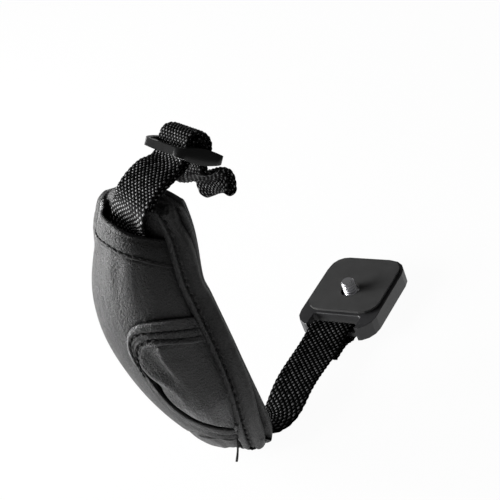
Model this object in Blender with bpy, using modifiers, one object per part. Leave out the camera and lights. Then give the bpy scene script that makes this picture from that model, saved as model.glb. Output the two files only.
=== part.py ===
"""Camera wrist strap: a padded leather hand grip on a woven web, with a slide buckle and a tripod base plate.

Z is up. The origin is on the tripod screw's axis, in the top face of the rubber pad that meets the camera's base.
The camera would sit at +Z above the plate, its grip side ends near X -54 mm, and its front faces -Y.
Lengths below are in millimetres, and every mesh is written in metres.
"""

import math

import bmesh
import bpy
import numpy as np
from mathutils import Vector

MM = 0.001
GAP = 0.35

# Web
WEB_W = 20.0
WEB_T = 1.4
WEB_RIB = 0.14
RIB_PITCH = 2.2
LUG_GATHER = 0.22

# Padded grip, measured along its middle line and across it
PAD_LENGTH = 130.0
PAD_HALF = 28.5
PAD_SHORTER_BACK = 1.0
PAD_WIDER_TOP = 3.6
PAD_T = 7.2
LINING_T = 2.4
RIM_W = 7.0
WELT_W = 2.4
WELT_T = 2.5
COVER_T = 1.1
CROWN = 10.6
MOUTH_AT = 0.861
HEM_W = 8.6
POCKET_HEM_W = 6.0
BEND_FRONT = 0.013
BEND_BACK = 0.056
FLAT_BACK = 7.0

# Where the strap runs
PAD_FOOT = Vector((-87.5, -35.0, -0.8))
CAMERA_EDGE = Vector((-54.0, -31.0, -2.7))
BUCKLE_AT = Vector((-52.4, -21.7, 117.0))
LUG_AT = Vector((-44.6, -19.8, 92.2))

# Slide buckle
BUCKLE_W = 26.4
BUCKLE_L = 21.6
BUCKLE_BAR = 3.2
BUCKLE_RAIL = 2.5
BUCKLE_T = 3.0
BUCKLE_RAIL_T = 6.2
BUCKLE_MID_T = 5.4
BUCKLE_CORNER = 3.6

# Base plate, rubber pad and tripod screw
PLATE_L = 46.0
PLATE_W = 38.0
PLATE_T = 7.2
PLATE_R = 9.0
RUBBER_T = 1.4
BAR_D = 2.6
SCREW_D = 6.35
SCREW_UP = 5.2
HEAD_D = 15.0
HEAD_T = 3.2
CLIP_D = 10.0
CLIP_T = 0.8

pi = math.pi


def clear_scene():
    for obj in list(bpy.data.objects):
        bpy.data.objects.remove(obj, do_unlink=True)
    for group in list(bpy.data.collections):
        bpy.data.collections.remove(group)


def new_collection(name):
    group = bpy.data.collections.new(name)
    bpy.context.scene.collection.children.link(group)
    return group


clear_scene()
STRAP = new_collection("camera_wrist_strap")
CUTTERS = new_collection("cutters")


def material(name, colour, roughness, metallic=0.0):
    made = bpy.data.materials.new(name)
    made.use_nodes = True
    shader = made.node_tree.nodes["Principled BSDF"]
    shader.inputs["Base Color"].default_value = (*colour, 1.0)
    shader.inputs["Roughness"].default_value = roughness
    shader.inputs["Metallic"].default_value = metallic
    made.diffuse_color = (*colour, 1.0)
    return made


LOOKS = {
    "hand_pad": material("pad_leather", (0.035, 0.035, 0.037), 0.50),
    "pad_lining": material("lining_leather", (0.025, 0.025, 0.027), 0.70),
    "cover": material("cover_leather", (0.040, 0.040, 0.042), 0.48),
    "mouth_hem": material("mouth_hem_leather", (0.038, 0.038, 0.040), 0.50),
    "pocket_panel": material("pocket_leather", (0.036, 0.036, 0.038), 0.50),
    "pocket_hem": material("pocket_hem_leather", (0.034, 0.034, 0.036), 0.52),
    "front_welt": material("front_welt_leather", (0.036, 0.036, 0.038), 0.50),
    "back_welt": material("back_welt_leather", (0.036, 0.036, 0.038), 0.50),
    "webbing": material("black_web", (0.020, 0.020, 0.021), 0.80),
    "slide_buckle": material("buckle_plastic", (0.018, 0.018, 0.019), 0.32),
    "base_plate": material("plate_plastic", (0.020, 0.020, 0.021), 0.45),
    "rubber_pad": material("pad_rubber", (0.030, 0.030, 0.030), 0.85),
    "tripod_screw": material("screw_steel", (0.55, 0.55, 0.56), 0.30, 1.0),
    "screw_clip": material("clip_steel", (0.45, 0.45, 0.46), 0.35, 1.0),
}


def mesh_object(name, points, faces, group=STRAP):
    """One object from points in millimetres, its faces turned to point outwards."""
    made = bmesh.new()
    corners = [made.verts.new(Vector(p) * MM) for p in points]
    for face in faces:
        made.faces.new([corners[i] for i in face])
    bmesh.ops.recalc_face_normals(made, faces=made.faces[:])
    data = bpy.data.meshes.new(name)
    made.to_mesh(data)
    made.free()
    obj = bpy.data.objects.new(name, data)
    group.objects.link(obj)
    if name in LOOKS:
        data.materials.append(LOOKS[name])
    return obj


def cutter(name, points, faces):
    obj = mesh_object(name, points, faces, CUTTERS)
    obj.hide_render = True
    obj.display_type = "WIRE"
    return obj


def subsurf(obj, levels=1):
    rounder = obj.modifiers.new("round", "SUBSURF")
    rounder.levels = levels
    rounder.render_levels = levels


def solidify(obj, thickness, offset=-1.0):
    thick = obj.modifiers.new("thickness", "SOLIDIFY")
    thick.thickness = thickness * MM
    thick.offset = offset
    thick.use_even_offset = True


def bevel(obj, width, segments=2, angle=35.0):
    round_edges = obj.modifiers.new("edges", "BEVEL")
    round_edges.width = width * MM
    round_edges.segments = segments
    round_edges.limit_method = "ANGLE"
    round_edges.angle_limit = math.radians(angle)


def cut(obj, other, operation="DIFFERENCE"):
    step = obj.modifiers.new(other.name, "BOOLEAN")
    step.operation = operation
    step.solver = "EXACT"
    step.object = other


class Spline:
    """A natural cubic spline through values at rising knots; straight beyond its ends."""

    def __init__(self, knots, values):
        self.x = np.array(knots, float)
        self.y = np.array(values, float)
        if self.y.ndim == 1:
            self.y = self.y[:, None]
        count = len(self.x)
        gaps = np.diff(self.x)
        system = np.eye(count)
        right = np.zeros_like(self.y)
        for i in range(1, count - 1):
            system[i, i - 1 : i + 2] = gaps[i - 1], 2 * (gaps[i - 1] + gaps[i]), gaps[i]
            rise = (self.y[i + 1] - self.y[i]) / gaps[i] - (self.y[i] - self.y[i - 1]) / gaps[i - 1]
            right[i] = 6 * rise
        self.second = np.linalg.solve(system, right)

    def at(self, t):
        x, y, m = self.x, self.y, self.second
        inside = min(max(t, x[0]), x[-1])
        i = min(int(np.searchsorted(x, inside, side="right")) - 1, len(x) - 2)
        i = max(i, 0)
        h = x[i + 1] - x[i]
        a = (x[i + 1] - inside) / h
        b = (inside - x[i]) / h
        value = a * y[i] + b * y[i + 1] + ((a**3 - a) * m[i] + (b**3 - b) * m[i + 1]) * h * h / 6
        if inside != t:
            value = value + self.slope(inside) * (t - inside)
        return value

    def slope(self, t):
        x, y, m = self.x, self.y, self.second
        inside = min(max(t, x[0]), x[-1])
        i = max(min(int(np.searchsorted(x, inside, side="right")) - 1, len(x) - 2), 0)
        h = x[i + 1] - x[i]
        a = (x[i + 1] - inside) / h
        b = (inside - x[i]) / h
        return (y[i + 1] - y[i]) / h + ((1 - 3 * a * a) * m[i] + (3 * b * b - 1) * m[i + 1]) * h / 6


# The grip's middle line, from its lower end to past its upper end. Each row is an offset from PAD_FOOT.
ALONG = PAD_LENGTH / 130.0
MIDDLE = Spline(
    (0.0, 0.2, 0.4, 0.6, 0.8, 1.0),
    [
        (PAD_FOOT.x + ALONG * x, PAD_FOOT.y + ALONG * y, PAD_FOOT.z + ALONG * z)
        for x, y, z in (
            (0.0, 0.0, 0.0),
            (-5.9, -2.0, 24.4),
            (-8.2, 4.0, 51.3),
            (-5.7, 9.8, 77.1),
            (4.6, 12.2, 97.9),
            (10.6, 14.6, 121.2),
        )
    ],
)
TURN = Spline((0.0, 0.5, 1.0), (27.9, 40.9, 9.4))
HALF = Spline(
    (-0.06, 0.0, 0.08, 0.25, 0.5, 0.72, 0.88, 0.93, 0.98),
    [PAD_HALF * f for f in (0.56, 0.69, 0.79, 0.935, 1.025, 0.905, 0.73, 0.65, 0.45)],
)
RISE = Spline((0.0, 0.2, 0.5, 0.85, 1.0), [CROWN * f for f in (0.36, 0.64, 0.98, 0.92, 0.68)])


def step(x, low, high):
    x = min(1.0, max(0.0, (x - low) / (high - low)))
    return x * x * (3 - 2 * x)


def half(t, side):
    """From the middle line out to the edge of the grip."""
    wide = float(HALF.at(t)[0])
    return wide if side > 0 else wide - PAD_SHORTER_BACK * step(t, 0.0, 0.2) + PAD_WIDER_TOP * step(t, 0.55, 0.80)


def rim(t):
    """The rounded rim outside the stitch groove, narrower towards both ends."""
    return RIM_W * (1 - 0.20 * (1 - step(t, 0.0, 0.14)) - 0.20 * step(t, 0.66, 0.84))


def seam(t, side):
    """From the middle line out to the stitch groove."""
    return half(t, side) - rim(t)


def axes(t):
    along = Vector(MIDDLE.slope(t)).normalized()
    turn = math.radians(float(TURN.at(t)[0]))
    across = Vector((math.sin(turn), -math.cos(turn), 0.0))
    across = (across - along * across.dot(along)).normalized()
    return along, across, across.cross(along)


def on_grip(t, v, n):
    """The point at t along the grip, v millimetres across it and n millimetres out from it.

    Across, the grip bends round the hand: gently at the front, and more tightly behind FLAT_BACK.
    """
    along, across, out = axes(t)
    side = 1 if v > 0 else -1
    bend = BEND_FRONT if v > 0 else BEND_BACK * (1.45 - 0.45 * step(t, 0.12, 0.42) - 0.72 * step(t, 0.60, 0.86))
    flat = 0.0 if v > 0 else FLAT_BACK
    round_part = max(0.0, abs(v) - flat)
    angle = bend * round_part
    x = min(abs(v), flat) + math.sin(angle) / bend
    y = -(1 - math.cos(angle)) / bend
    x += n * math.sin(angle)
    y += n * math.cos(angle)
    return Vector(MIDDLE.at(t)) + across * (side * x) + out * y


def cover_height(t, v):
    """The outer face of the cover above the padded base."""
    edge = seam(t, v) - WELT_W - GAP
    q = min(1.0, abs(v) / max(edge, 1.0))
    power = (2.2 if v > 0 else 2.5) + 3.4 * (1 - step(t, 0.0, 0.14))
    return float(RISE.at(t)[0]) * (1 - q**power) + 1.9


def grid_faces(rows, columns, start=0):
    return [
        (
            start + i * columns + j,
            start + i * columns + j + 1,
            start + (i + 1) * columns + j + 1,
            start + (i + 1) * columns + j,
        )
        for i in range(rows - 1)
        for j in range(columns - 1)
    ]


def open_sheet(name, rows, columns, point, thickness):
    """A sheet of given thickness below the surface that point(along, across) gives; both run from 0 to 1."""
    points = [point(i / (rows - 1), j / (columns - 1)) for i in range(rows) for j in range(columns)]
    obj = mesh_object(name, points, grid_faces(rows, columns))
    middle = point(0.5, 0.5)
    outwards = axes(0.5)[2]
    face = min(obj.data.polygons, key=lambda f: (f.center / MM - middle).length)
    if face.normal.dot(outwards) < 0:
        obj.data.flip_normals()
    solidify(obj, thickness)
    return obj


def slab(name, rows, columns, top, bottom):
    """A closed body between two grids of the same size."""
    points = []
    for surface in (top, bottom):
        points += [surface(i / (rows - 1), j / (columns - 1)) for i in range(rows) for j in range(columns)]
    size = rows * columns
    faces = grid_faces(rows, columns) + [tuple(reversed(f)) for f in grid_faces(rows, columns, size)]
    ring = [j for j in range(columns)]
    ring += [i * columns + columns - 1 for i in range(1, rows)]
    ring += [(rows - 1) * columns + j for j in range(columns - 2, -1, -1)]
    ring += [i * columns for i in range(rows - 2, 0, -1)]
    for a, b in zip(ring, ring[1:] + ring[:1]):
        faces.append((a, b, size + b, size + a))
    return mesh_object(name, points, faces)


# Padded base. Columns run across it: the rounded rim, the stitch groove, and the flat middle under the cover.
PAD_LOW = -0.058
PAD_HIGH = 0.945
NOTCH = 0.054


def pad_columns(t):
    back = half(t, -1)
    front = half(t, 1)
    return (
        -back,
        -back + 0.3 * rim(t),
        -back + rim(t),
        -0.45 * back,
        0.0,
        0.45 * front,
        front - rim(t),
        front - 0.3 * rim(t),
        front,
    )


PAD_TOP = (-2.3, 1.5, -0.9, -0.4, -0.4, -0.4, -0.9, 1.5, -2.3)
PAD_UNDER = (-5.4, -7.4, -7.2, -7.2, -7.2, -7.2, -7.2, -7.4, -5.4)


def pad_place(s, q, heights):
    """s runs along the grip and q across it. The lower end is notched for the web that turns under it."""
    index = q * 8
    j = min(int(index), 7)
    part = index - j
    edge = abs(q - 0.5) * 2
    low = PAD_LOW + NOTCH * (1 - min(1.0, max(0.0, (edge - 0.49) / 0.35))) + 0.010 * max(0.0, edge - 0.85) / 0.15
    high = PAD_HIGH - 0.03 * edge**4
    t = low + (high - low) * s
    columns = pad_columns(t)
    v = columns[j] * (1 - part) + columns[j + 1] * part
    n = (heights[j] * (1 - part) + heights[j + 1] * part) * PAD_T / 7.2
    round_end = max(0.0, 1 - s / 0.03) + max(0.0, 1 - (1 - s) / 0.03)
    middle = -3.8 * PAD_T / 7.2
    return on_grip(t, v, middle + (n - middle) * (1 - 0.55 * min(1.0, round_end)))


ROWS = 12
hand_pad = slab(
    "hand_pad",
    ROWS,
    9,
    lambda s, q: pad_place(s, q, PAD_TOP),
    lambda s, q: pad_place(s, q, PAD_UNDER),
)
subsurf(hand_pad)


def lining_place(s, q, n):
    edge = abs(q - 0.5) * 2
    low = PAD_LOW + 0.012 + NOTCH * (1 - min(1.0, max(0.0, (edge - 0.49) / 0.35)))
    t = low + (PAD_HIGH - 0.01 - 0.03 * edge**4 - low) * s
    side = -1 if q < 0.5 else 1
    v = side * edge * (half(t, side) - 2.0)
    under = -PAD_T * 7.5 / 7.2 - GAP - 0.35 * edge**6
    return on_grip(t, v, under - n)


pad_lining = slab(
    "pad_lining",
    9,
    5,
    lambda s, q: lining_place(s, q, 0.0),
    lambda s, q: lining_place(s, q, LINING_T),
)
subsurf(pad_lining)

# Cover over the sleeve that the web runs through. It is open at both ends.
COVER_LOW = -0.004
HEM_SHARE = HEM_W / PAD_LENGTH


# The mouth leans: its front side sits lower than its back. q runs from the back edge to the front edge.
MOUTH_LEAN = Spline((0.0, 0.25, 0.5, 0.75, 1.0), (0.014, 0.016, 0.0, -0.033, -0.062))


def mouth_t(q):
    return MOUTH_AT + float(MOUTH_LEAN.at(q)[0])


def cover_v(t, q):
    side = -1 if q < 0.5 else 1
    return (2 * q - 1) * (seam(t, side) - WELT_W - GAP)


def cover_place(s, q):
    high = mouth_t(q) - HEM_SHARE - 0.003
    t = COVER_LOW + (high - COVER_LOW) * s
    v = cover_v(t, q)
    crease = 0.35 * math.sin(9.0 * t + 5.0 * q) * math.sin(pi * q) * math.sin(pi * s)
    return on_grip(t, v, cover_height(t, v) + crease)


cover = open_sheet("cover", 12, 9, cover_place, COVER_T)
subsurf(cover)


def mouth_place(s, q):
    high = mouth_t(q)
    t = high - HEM_SHARE * (1 - s)
    v = cover_v(t, q)
    return on_grip(t, v, cover_height(t, v) + 0.55 - 0.5 * s**3)


mouth_hem = open_sheet("mouth_hem", 3, 9, mouth_place, 1.7)
subsurf(mouth_hem)


# Flat welts beside the stitch grooves, both sides
def welt(name, side):
    rows = 22
    low = COVER_LOW + 0.008
    high = PAD_HIGH - 0.05
    points = []
    for i in range(rows):
        t = low + (high - low) * i / (rows - 1)
        outer = seam(t, side) - 0.15
        inner = outer - WELT_W
        for v, n in ((inner, 0.25), (outer, 0.25), (outer, 1.7), (outer - 0.7, WELT_T), (inner + 0.6, WELT_T), (inner, 1.8)):
            points.append(on_grip(t, side * v, n))
    faces = []
    for i in range(rows - 1):
        for k in range(6):
            a = i * 6 + k
            b = i * 6 + (k + 1) % 6
            faces.append((a, b, b + 6, a + 6))
    faces.append(tuple(range(5, -1, -1)))
    faces.append(tuple((rows - 1) * 6 + k for k in range(6)))
    return mesh_object(name, points, faces)


front_welt = welt("front_welt", 1)
back_welt = welt("back_welt", -1)

# Pocket patch on the lower half: its outline in (t, v), from the front seam over the top and down the left
POCKET_PATH = Spline(
    (0.0, 0.18, 0.34, 0.42, 0.50, 0.58, 0.68, 0.80, 0.90, 1.0),
    [
        (0.487, 0.99),
        (0.517, 0.50),
        (0.524, 0.10),
        (0.508, -0.14),
        (0.475, -0.31),
        (0.430, -0.40),
        (0.360, -0.37),
        (0.270, -0.23),
        (0.190, 0.04),
        (0.115, 0.40),
    ],
)


def patch_edge(p):
    """The patch's outline at p, as t and v in millimetres."""
    t, share = POCKET_PATH.at(p)
    return float(t), float(share) * (seam(t, share) - WELT_W - GAP)


def patch_inside(p, inward):
    """The outline moved inwards by so many millimetres, as t and v."""
    t, v = patch_edge(p)
    t0, v0 = patch_edge(max(0.0, p - 0.01))
    t1, v1 = patch_edge(min(1.0, p + 0.01))
    direction = Vector(((t1 - t0) * PAD_LENGTH, v1 - v0)).normalized()
    inwards = Vector((direction.y, -direction.x))
    inwards = inwards.lerp(Vector((-1.0, 0.0)), 1 - step(p, 0.0, 0.16)).normalized()
    return t + inward * inwards.x / PAD_LENGTH, v + inward * inwards.y


def hem_width(p):
    return POCKET_HEM_W * (1 - 0.62 * min(1.0, max(0.0, (p - 0.40) / 0.45)))


def pocket_hem_place(s, q):
    inward = hem_width(s) * q
    t, v = patch_inside(s, inward)
    return on_grip(t, v, cover_height(t, v) + GAP + 1.5 + 0.25 * math.sin(pi * q))


pocket_hem = open_sheet("pocket_hem", 26, 4, pocket_hem_place, 1.0)


def pocket_place(s, q):
    """s runs from the hem to the lower end, and q from the left edge to the front seam."""
    left = 0.36 + (1 - 0.36) * s
    t_left, v_left = patch_inside(left, hem_width(left) + GAP)
    t_right = 0.482 - (POCKET_HEM_W + GAP) / PAD_LENGTH - 0.40 * s
    v_right = 0.985 * (seam(t_right, 1) - WELT_W - GAP)
    top_bow = 0.006 * math.sin(pi * q) * (1 - s) ** 3
    t = t_left * (1 - q) + t_right * q + top_bow
    v = v_left * (1 - q) + v_right * q
    puff = 2.2 * (math.sin(pi * min(1.0, max(0.0, q))) ** 0.7) * math.sin(pi * min(1.0, 0.12 + 0.88 * s)) ** 0.6
    fold = 1.1 * math.exp(-(((q - 0.28 - 0.30 * s) / 0.11) ** 2)) * math.sin(pi * s) ** 0.5
    return on_grip(t, v, cover_height(t, v) + GAP + 1.5 + puff + fold)


pocket_panel = open_sheet("pocket_panel", 12, 10, pocket_place, 1.0)

# Slide buckle: three bars between two rails that are deeper in the middle
BAR_WAY = Vector((0.115, -0.99, 0.06)).normalized()
RAIL_WAY = Vector((0.75, 0.0, -0.66))
RAIL_WAY = (RAIL_WAY - BAR_WAY * RAIL_WAY.dot(BAR_WAY)).normalized()
BUCKLE_UP = BAR_WAY.cross(RAIL_WAY)
SLOT = (BUCKLE_L - 3 * BUCKLE_BAR) / 2


def on_buckle(b, r, n):
    return BUCKLE_AT + BAR_WAY * b + RAIL_WAY * r + BUCKLE_UP * n


def box_points(place, b0, b1, r0, r1, n0, n1):
    return [place(b, r, n) for n in (n0, n1) for b, r in ((b0, r0), (b1, r0), (b1, r1), (b0, r1))]


BOX_FACES = [(3, 2, 1, 0), (4, 5, 6, 7), (0, 1, 5, 4), (1, 2, 6, 5), (2, 3, 7, 6), (3, 0, 4, 7)]


def buckle_half_width(r):
    """From the middle out to the rail's outer face, less at the rounded corners."""
    into = max(0.0, abs(r) - (BUCKLE_L / 2 - BUCKLE_CORNER))
    return BUCKLE_W / 2 - BUCKLE_CORNER + math.sqrt(max(0.0, BUCKLE_CORNER**2 - into**2))


def buckle_body():
    """Rows run from one outer bar to the other. The rails are deeper in the middle, like a lens, and so is the bar between."""
    half_r = BUCKLE_L / 2
    corner = [half_r - BUCKLE_CORNER * (1 - math.sin(math.radians(a))) for a in (0, 30, 55, 75, 90)]
    inner = [(half_r - BUCKLE_CORNER) * k / 4 for k in range(4)]
    stations = sorted({round(sign * r, 6) for sign in (-1, 1) for r in inner + corner})
    points = []
    for r in stations:
        wide = buckle_half_width(r)
        lens = max(0.0, math.cos(pi * r / (2 * half_r))) ** 0.8
        rail = BUCKLE_T / 2 + (BUCKLE_RAIL_T - BUCKLE_T) / 2 * lens
        bar = BUCKLE_T / 2 + (BUCKLE_MID_T - BUCKLE_T) / 2 * (1 - step(abs(r), BUCKLE_BAR / 2, BUCKLE_BAR / 2 + SLOT))
        inside = wide - BUCKLE_RAIL
        top = ((-wide, rail), (-inside, rail), (0.6 - inside, bar), (inside - 0.6, bar), (inside, rail), (wide, rail))
        points += [on_buckle(b, r, n) for b, n in top]
        points += [on_buckle(b, r, -n) for b, n in reversed(top)]
    faces = []
    rows = len(stations)
    for i in range(rows - 1):
        for k in range(12):
            a = i * 12 + k
            b = i * 12 + (k + 1) % 12
            faces.append((a, b, b + 12, a + 12))
    for first, turn in ((0, -1), ((rows - 1) * 12, 1)):
        for k in range(5):
            quad = (first + k, first + k + 1, first + 10 - k, first + 11 - k)
            faces.append(quad if turn > 0 else tuple(reversed(quad)))
    return points, faces


slide_buckle = mesh_object("slide_buckle", *buckle_body())
for number, side in enumerate((-1, 1)):
    inner = BUCKLE_BAR / 2
    reach = BUCKLE_W / 2 - BUCKLE_RAIL
    ends = sorted((side * inner, side * (inner + SLOT)))
    slot = cutter(f"buckle_slot_{number}", box_points(on_buckle, -reach, reach, *ends, -9, 9), BOX_FACES)
    cut(slide_buckle, slot)
bevel(slide_buckle, 0.5, 1, 40.0)

# Base plate, turned so that its bar faces the strap
PLATE_WAY = Vector((CAMERA_EDGE.x, CAMERA_EDGE.y, 0.0)).normalized()
PLATE_SIDE = Vector((-PLATE_WAY.y, PLATE_WAY.x, 0.0))
BAR_AT = PLATE_L / 2 - BAR_D / 2 - 0.4
BAR_Z = -RUBBER_T - PLATE_T / 2
SLOT_L = 5.0


def on_plate(s, w, z):
    return PLATE_WAY * s + PLATE_SIDE * w + Vector((0, 0, z))


def rounded_block(place, s0, s1, w0, w1, z0, z1, radius, steps=4):
    ring = []
    for cs, cw, start in (
        (s1 - radius, w1 - radius, 0.0),
        (s0 + radius, w1 - radius, 90.0),
        (s0 + radius, w0 + radius, 180.0),
        (s1 - radius, w0 + radius, 270.0),
    ):
        for k in range(steps + 1):
            angle = math.radians(start + 90.0 * k / steps)
            ring.append((cs + radius * math.cos(angle), cw + radius * math.sin(angle)))
    points = [place(s, w, z) for z in (z0, z1) for s, w in ring]
    count = len(ring)
    faces = [(k, (k + 1) % count, count + (k + 1) % count, count + k) for k in range(count)]
    faces += [tuple(range(count - 1, -1, -1)), tuple(range(count, 2 * count))]
    return points, faces


def cylinder(place, radius, z0, z1, steps=32):
    ring = [(radius * math.cos(2 * pi * k / steps), radius * math.sin(2 * pi * k / steps)) for k in range(steps)]
    points = [place(s, w, z) for z in (z0, z1) for s, w in ring]
    faces = [(k, (k + 1) % steps, steps + (k + 1) % steps, steps + k) for k in range(steps)]
    faces += [tuple(range(steps - 1, -1, -1)), tuple(range(steps, 2 * steps))]
    return points, faces


PLATE_LOW = -RUBBER_T - PLATE_T
base_plate = mesh_object(
    "base_plate",
    *rounded_block(on_plate, -PLATE_L / 2, PLATE_L / 2, -PLATE_W / 2, PLATE_W / 2, PLATE_LOW, -RUBBER_T - 0.02, PLATE_R),
)
slot_half = WEB_W / 2 + 1.8
cut(
    base_plate,
    cutter(
        "plate_slot",
        *rounded_block(
            on_plate,
            BAR_AT - BAR_D / 2 - SLOT_L,
            BAR_AT - BAR_D / 2,
            -slot_half,
            slot_half,
            PLATE_LOW - 3,
            3,
            1.2,
            2,
        ),
    ),
)
for number, (low, high) in enumerate(((PLATE_LOW - 3, BAR_Z - BAR_D / 2), (BAR_Z + BAR_D / 2, 3))):
    cut(
        base_plate,
        cutter(
            f"bar_relief_{number}",
            box_points(on_plate, BAR_AT - BAR_D / 2 - 2, PLATE_L / 2 + 5, -slot_half, slot_half, low, high),
            BOX_FACES,
        ),
    )
cut(base_plate, cutter("screw_way", *cylinder(on_plate, SCREW_D / 2 + 0.45, PLATE_LOW - 3, 3)))
cut(base_plate, cutter("clip_seat", *cylinder(on_plate, CLIP_D / 2 + 0.4, -RUBBER_T - CLIP_T - 0.9, 3)))
cut(base_plate, cutter("head_seat", *cylinder(on_plate, HEAD_D / 2 + 0.5, PLATE_LOW - 3, PLATE_LOW + HEAD_T + 0.65, 40)))
bevel(base_plate, 0.6, 1, 40.0)

rubber_pad = mesh_object(
    "rubber_pad",
    *rounded_block(
        on_plate,
        -PLATE_L / 2 + 1.6,
        BAR_AT - BAR_D / 2 - SLOT_L - 1.4,
        -PLATE_W / 2 + 1.6,
        PLATE_W / 2 - 1.6,
        -RUBBER_T + 0.28,
        0.0,
        PLATE_R - 1.8,
    ),
)
cut(rubber_pad, cutter("rubber_hole", *cylinder(on_plate, SCREW_D / 2 + 1.2, -6, 3)))


def screw_profile():
    """Radius and height from the head's underside up the thread to the tip."""
    low = PLATE_LOW + 0.25
    ring = [(HEAD_D / 2 - 0.5, low), (HEAD_D / 2, low + 0.5), (HEAD_D / 2, low + HEAD_T - 0.3), (HEAD_D / 2 - 0.3, low + HEAD_T)]
    ring += [(SCREW_D / 2 - 0.75, low + HEAD_T + 0.02)]
    z = -RUBBER_T - 0.2
    ring += [(SCREW_D / 2 - 0.75, z)]
    while z + 1.27 < SCREW_UP:
        ring += [(SCREW_D / 2 - 0.1, z + 0.45), (SCREW_D / 2 - 0.1, z + 0.75), (SCREW_D / 2 - 0.75, z + 1.2)]
        z += 1.27
    ring += [(SCREW_D / 2 - 0.8, SCREW_UP)]
    return ring


def lathe(profile, steps):
    points = [(r * math.cos(2 * pi * k / steps), r * math.sin(2 * pi * k / steps), z) for r, z in profile for k in range(steps)]
    faces = []
    for i in range(len(profile) - 1):
        for k in range(steps):
            a = i * steps + k
            b = i * steps + (k + 1) % steps
            faces.append((a, b, b + steps, a + steps))
    faces.append(tuple(range(steps - 1, -1, -1)))
    last = (len(profile) - 1) * steps
    faces.append(tuple(last + k for k in range(steps)))
    return points, faces


tripod_screw = mesh_object("tripod_screw", *lathe(screw_profile(), 18))
cut(
    tripod_screw,
    cutter("coin_slot", box_points(on_plate, -HEAD_D, HEAD_D, -0.8, 0.8, PLATE_LOW - 3, PLATE_LOW + 1.7), BOX_FACES),
)


def ring_body(inner, outer, low, high, steps=24):
    points = []
    for r, z in ((inner, low), (outer, low), (outer, high), (inner, high)):
        points += [(r * math.cos(2 * pi * k / steps), r * math.sin(2 * pi * k / steps), z) for k in range(steps)]
    faces = []
    for i in range(4):
        for k in range(steps):
            m = (k + 1) % steps
            n = (i + 1) % 4
            faces.append((i * steps + k, i * steps + m, n * steps + m, n * steps + k))
    return points, faces


# Clip round the screw's plain neck: it keeps the screw in the plate
CLIP_Z = -RUBBER_T - CLIP_T - 0.5
screw_clip = mesh_object("screw_clip", *ring_body(SCREW_D / 2 - 0.42, CLIP_D / 2, CLIP_Z, CLIP_Z + CLIP_T))

# Web: one length from the plate's bar, under the camera, through the sleeve and buckle, round the lug and back
OUTER_LOOP = ((-6.0, -3.0), (-5.0, 0.2), (-5.5, 3.4), (-4.7, 6.6), (-1.2, 8.4), (2.8, 7.3), (5.1, 4.0), (5.0, 0.2))
INNER_LOOP = ((2.75, -0.6), (3.15, 2.5), (2.1, 4.8), (-0.4, 5.6), (-2.5, 4.2), (-3.0, 1.8), (-2.75, -0.8), (-2.9, -3.8))


def plate_route():
    radius = BAR_D * 0.71 + WEB_T / 2 + WEB_RIB + 0.3
    side = PLATE_SIDE
    stops = [
        (on_plate(BAR_AT + 17, 0, BAR_Z - 0.2), side),
        (on_plate(BAR_AT + 11, 0, BAR_Z - 0.2), side),
        (on_plate(BAR_AT + 5.5, 0, BAR_Z - 1.1), side),
    ]
    for k in range(7):
        angle = math.radians(270 - 30 * k)
        stops.append((on_plate(BAR_AT + radius * math.cos(angle), 0, BAR_Z + radius * math.sin(angle)), side))
    stops.append((on_plate(BAR_AT + 6, 0, BAR_Z + radius - 0.2), side))
    stops.append((on_plate(BAR_AT + 16, 0, BAR_Z + radius - 0.5), side))
    return stops


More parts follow.
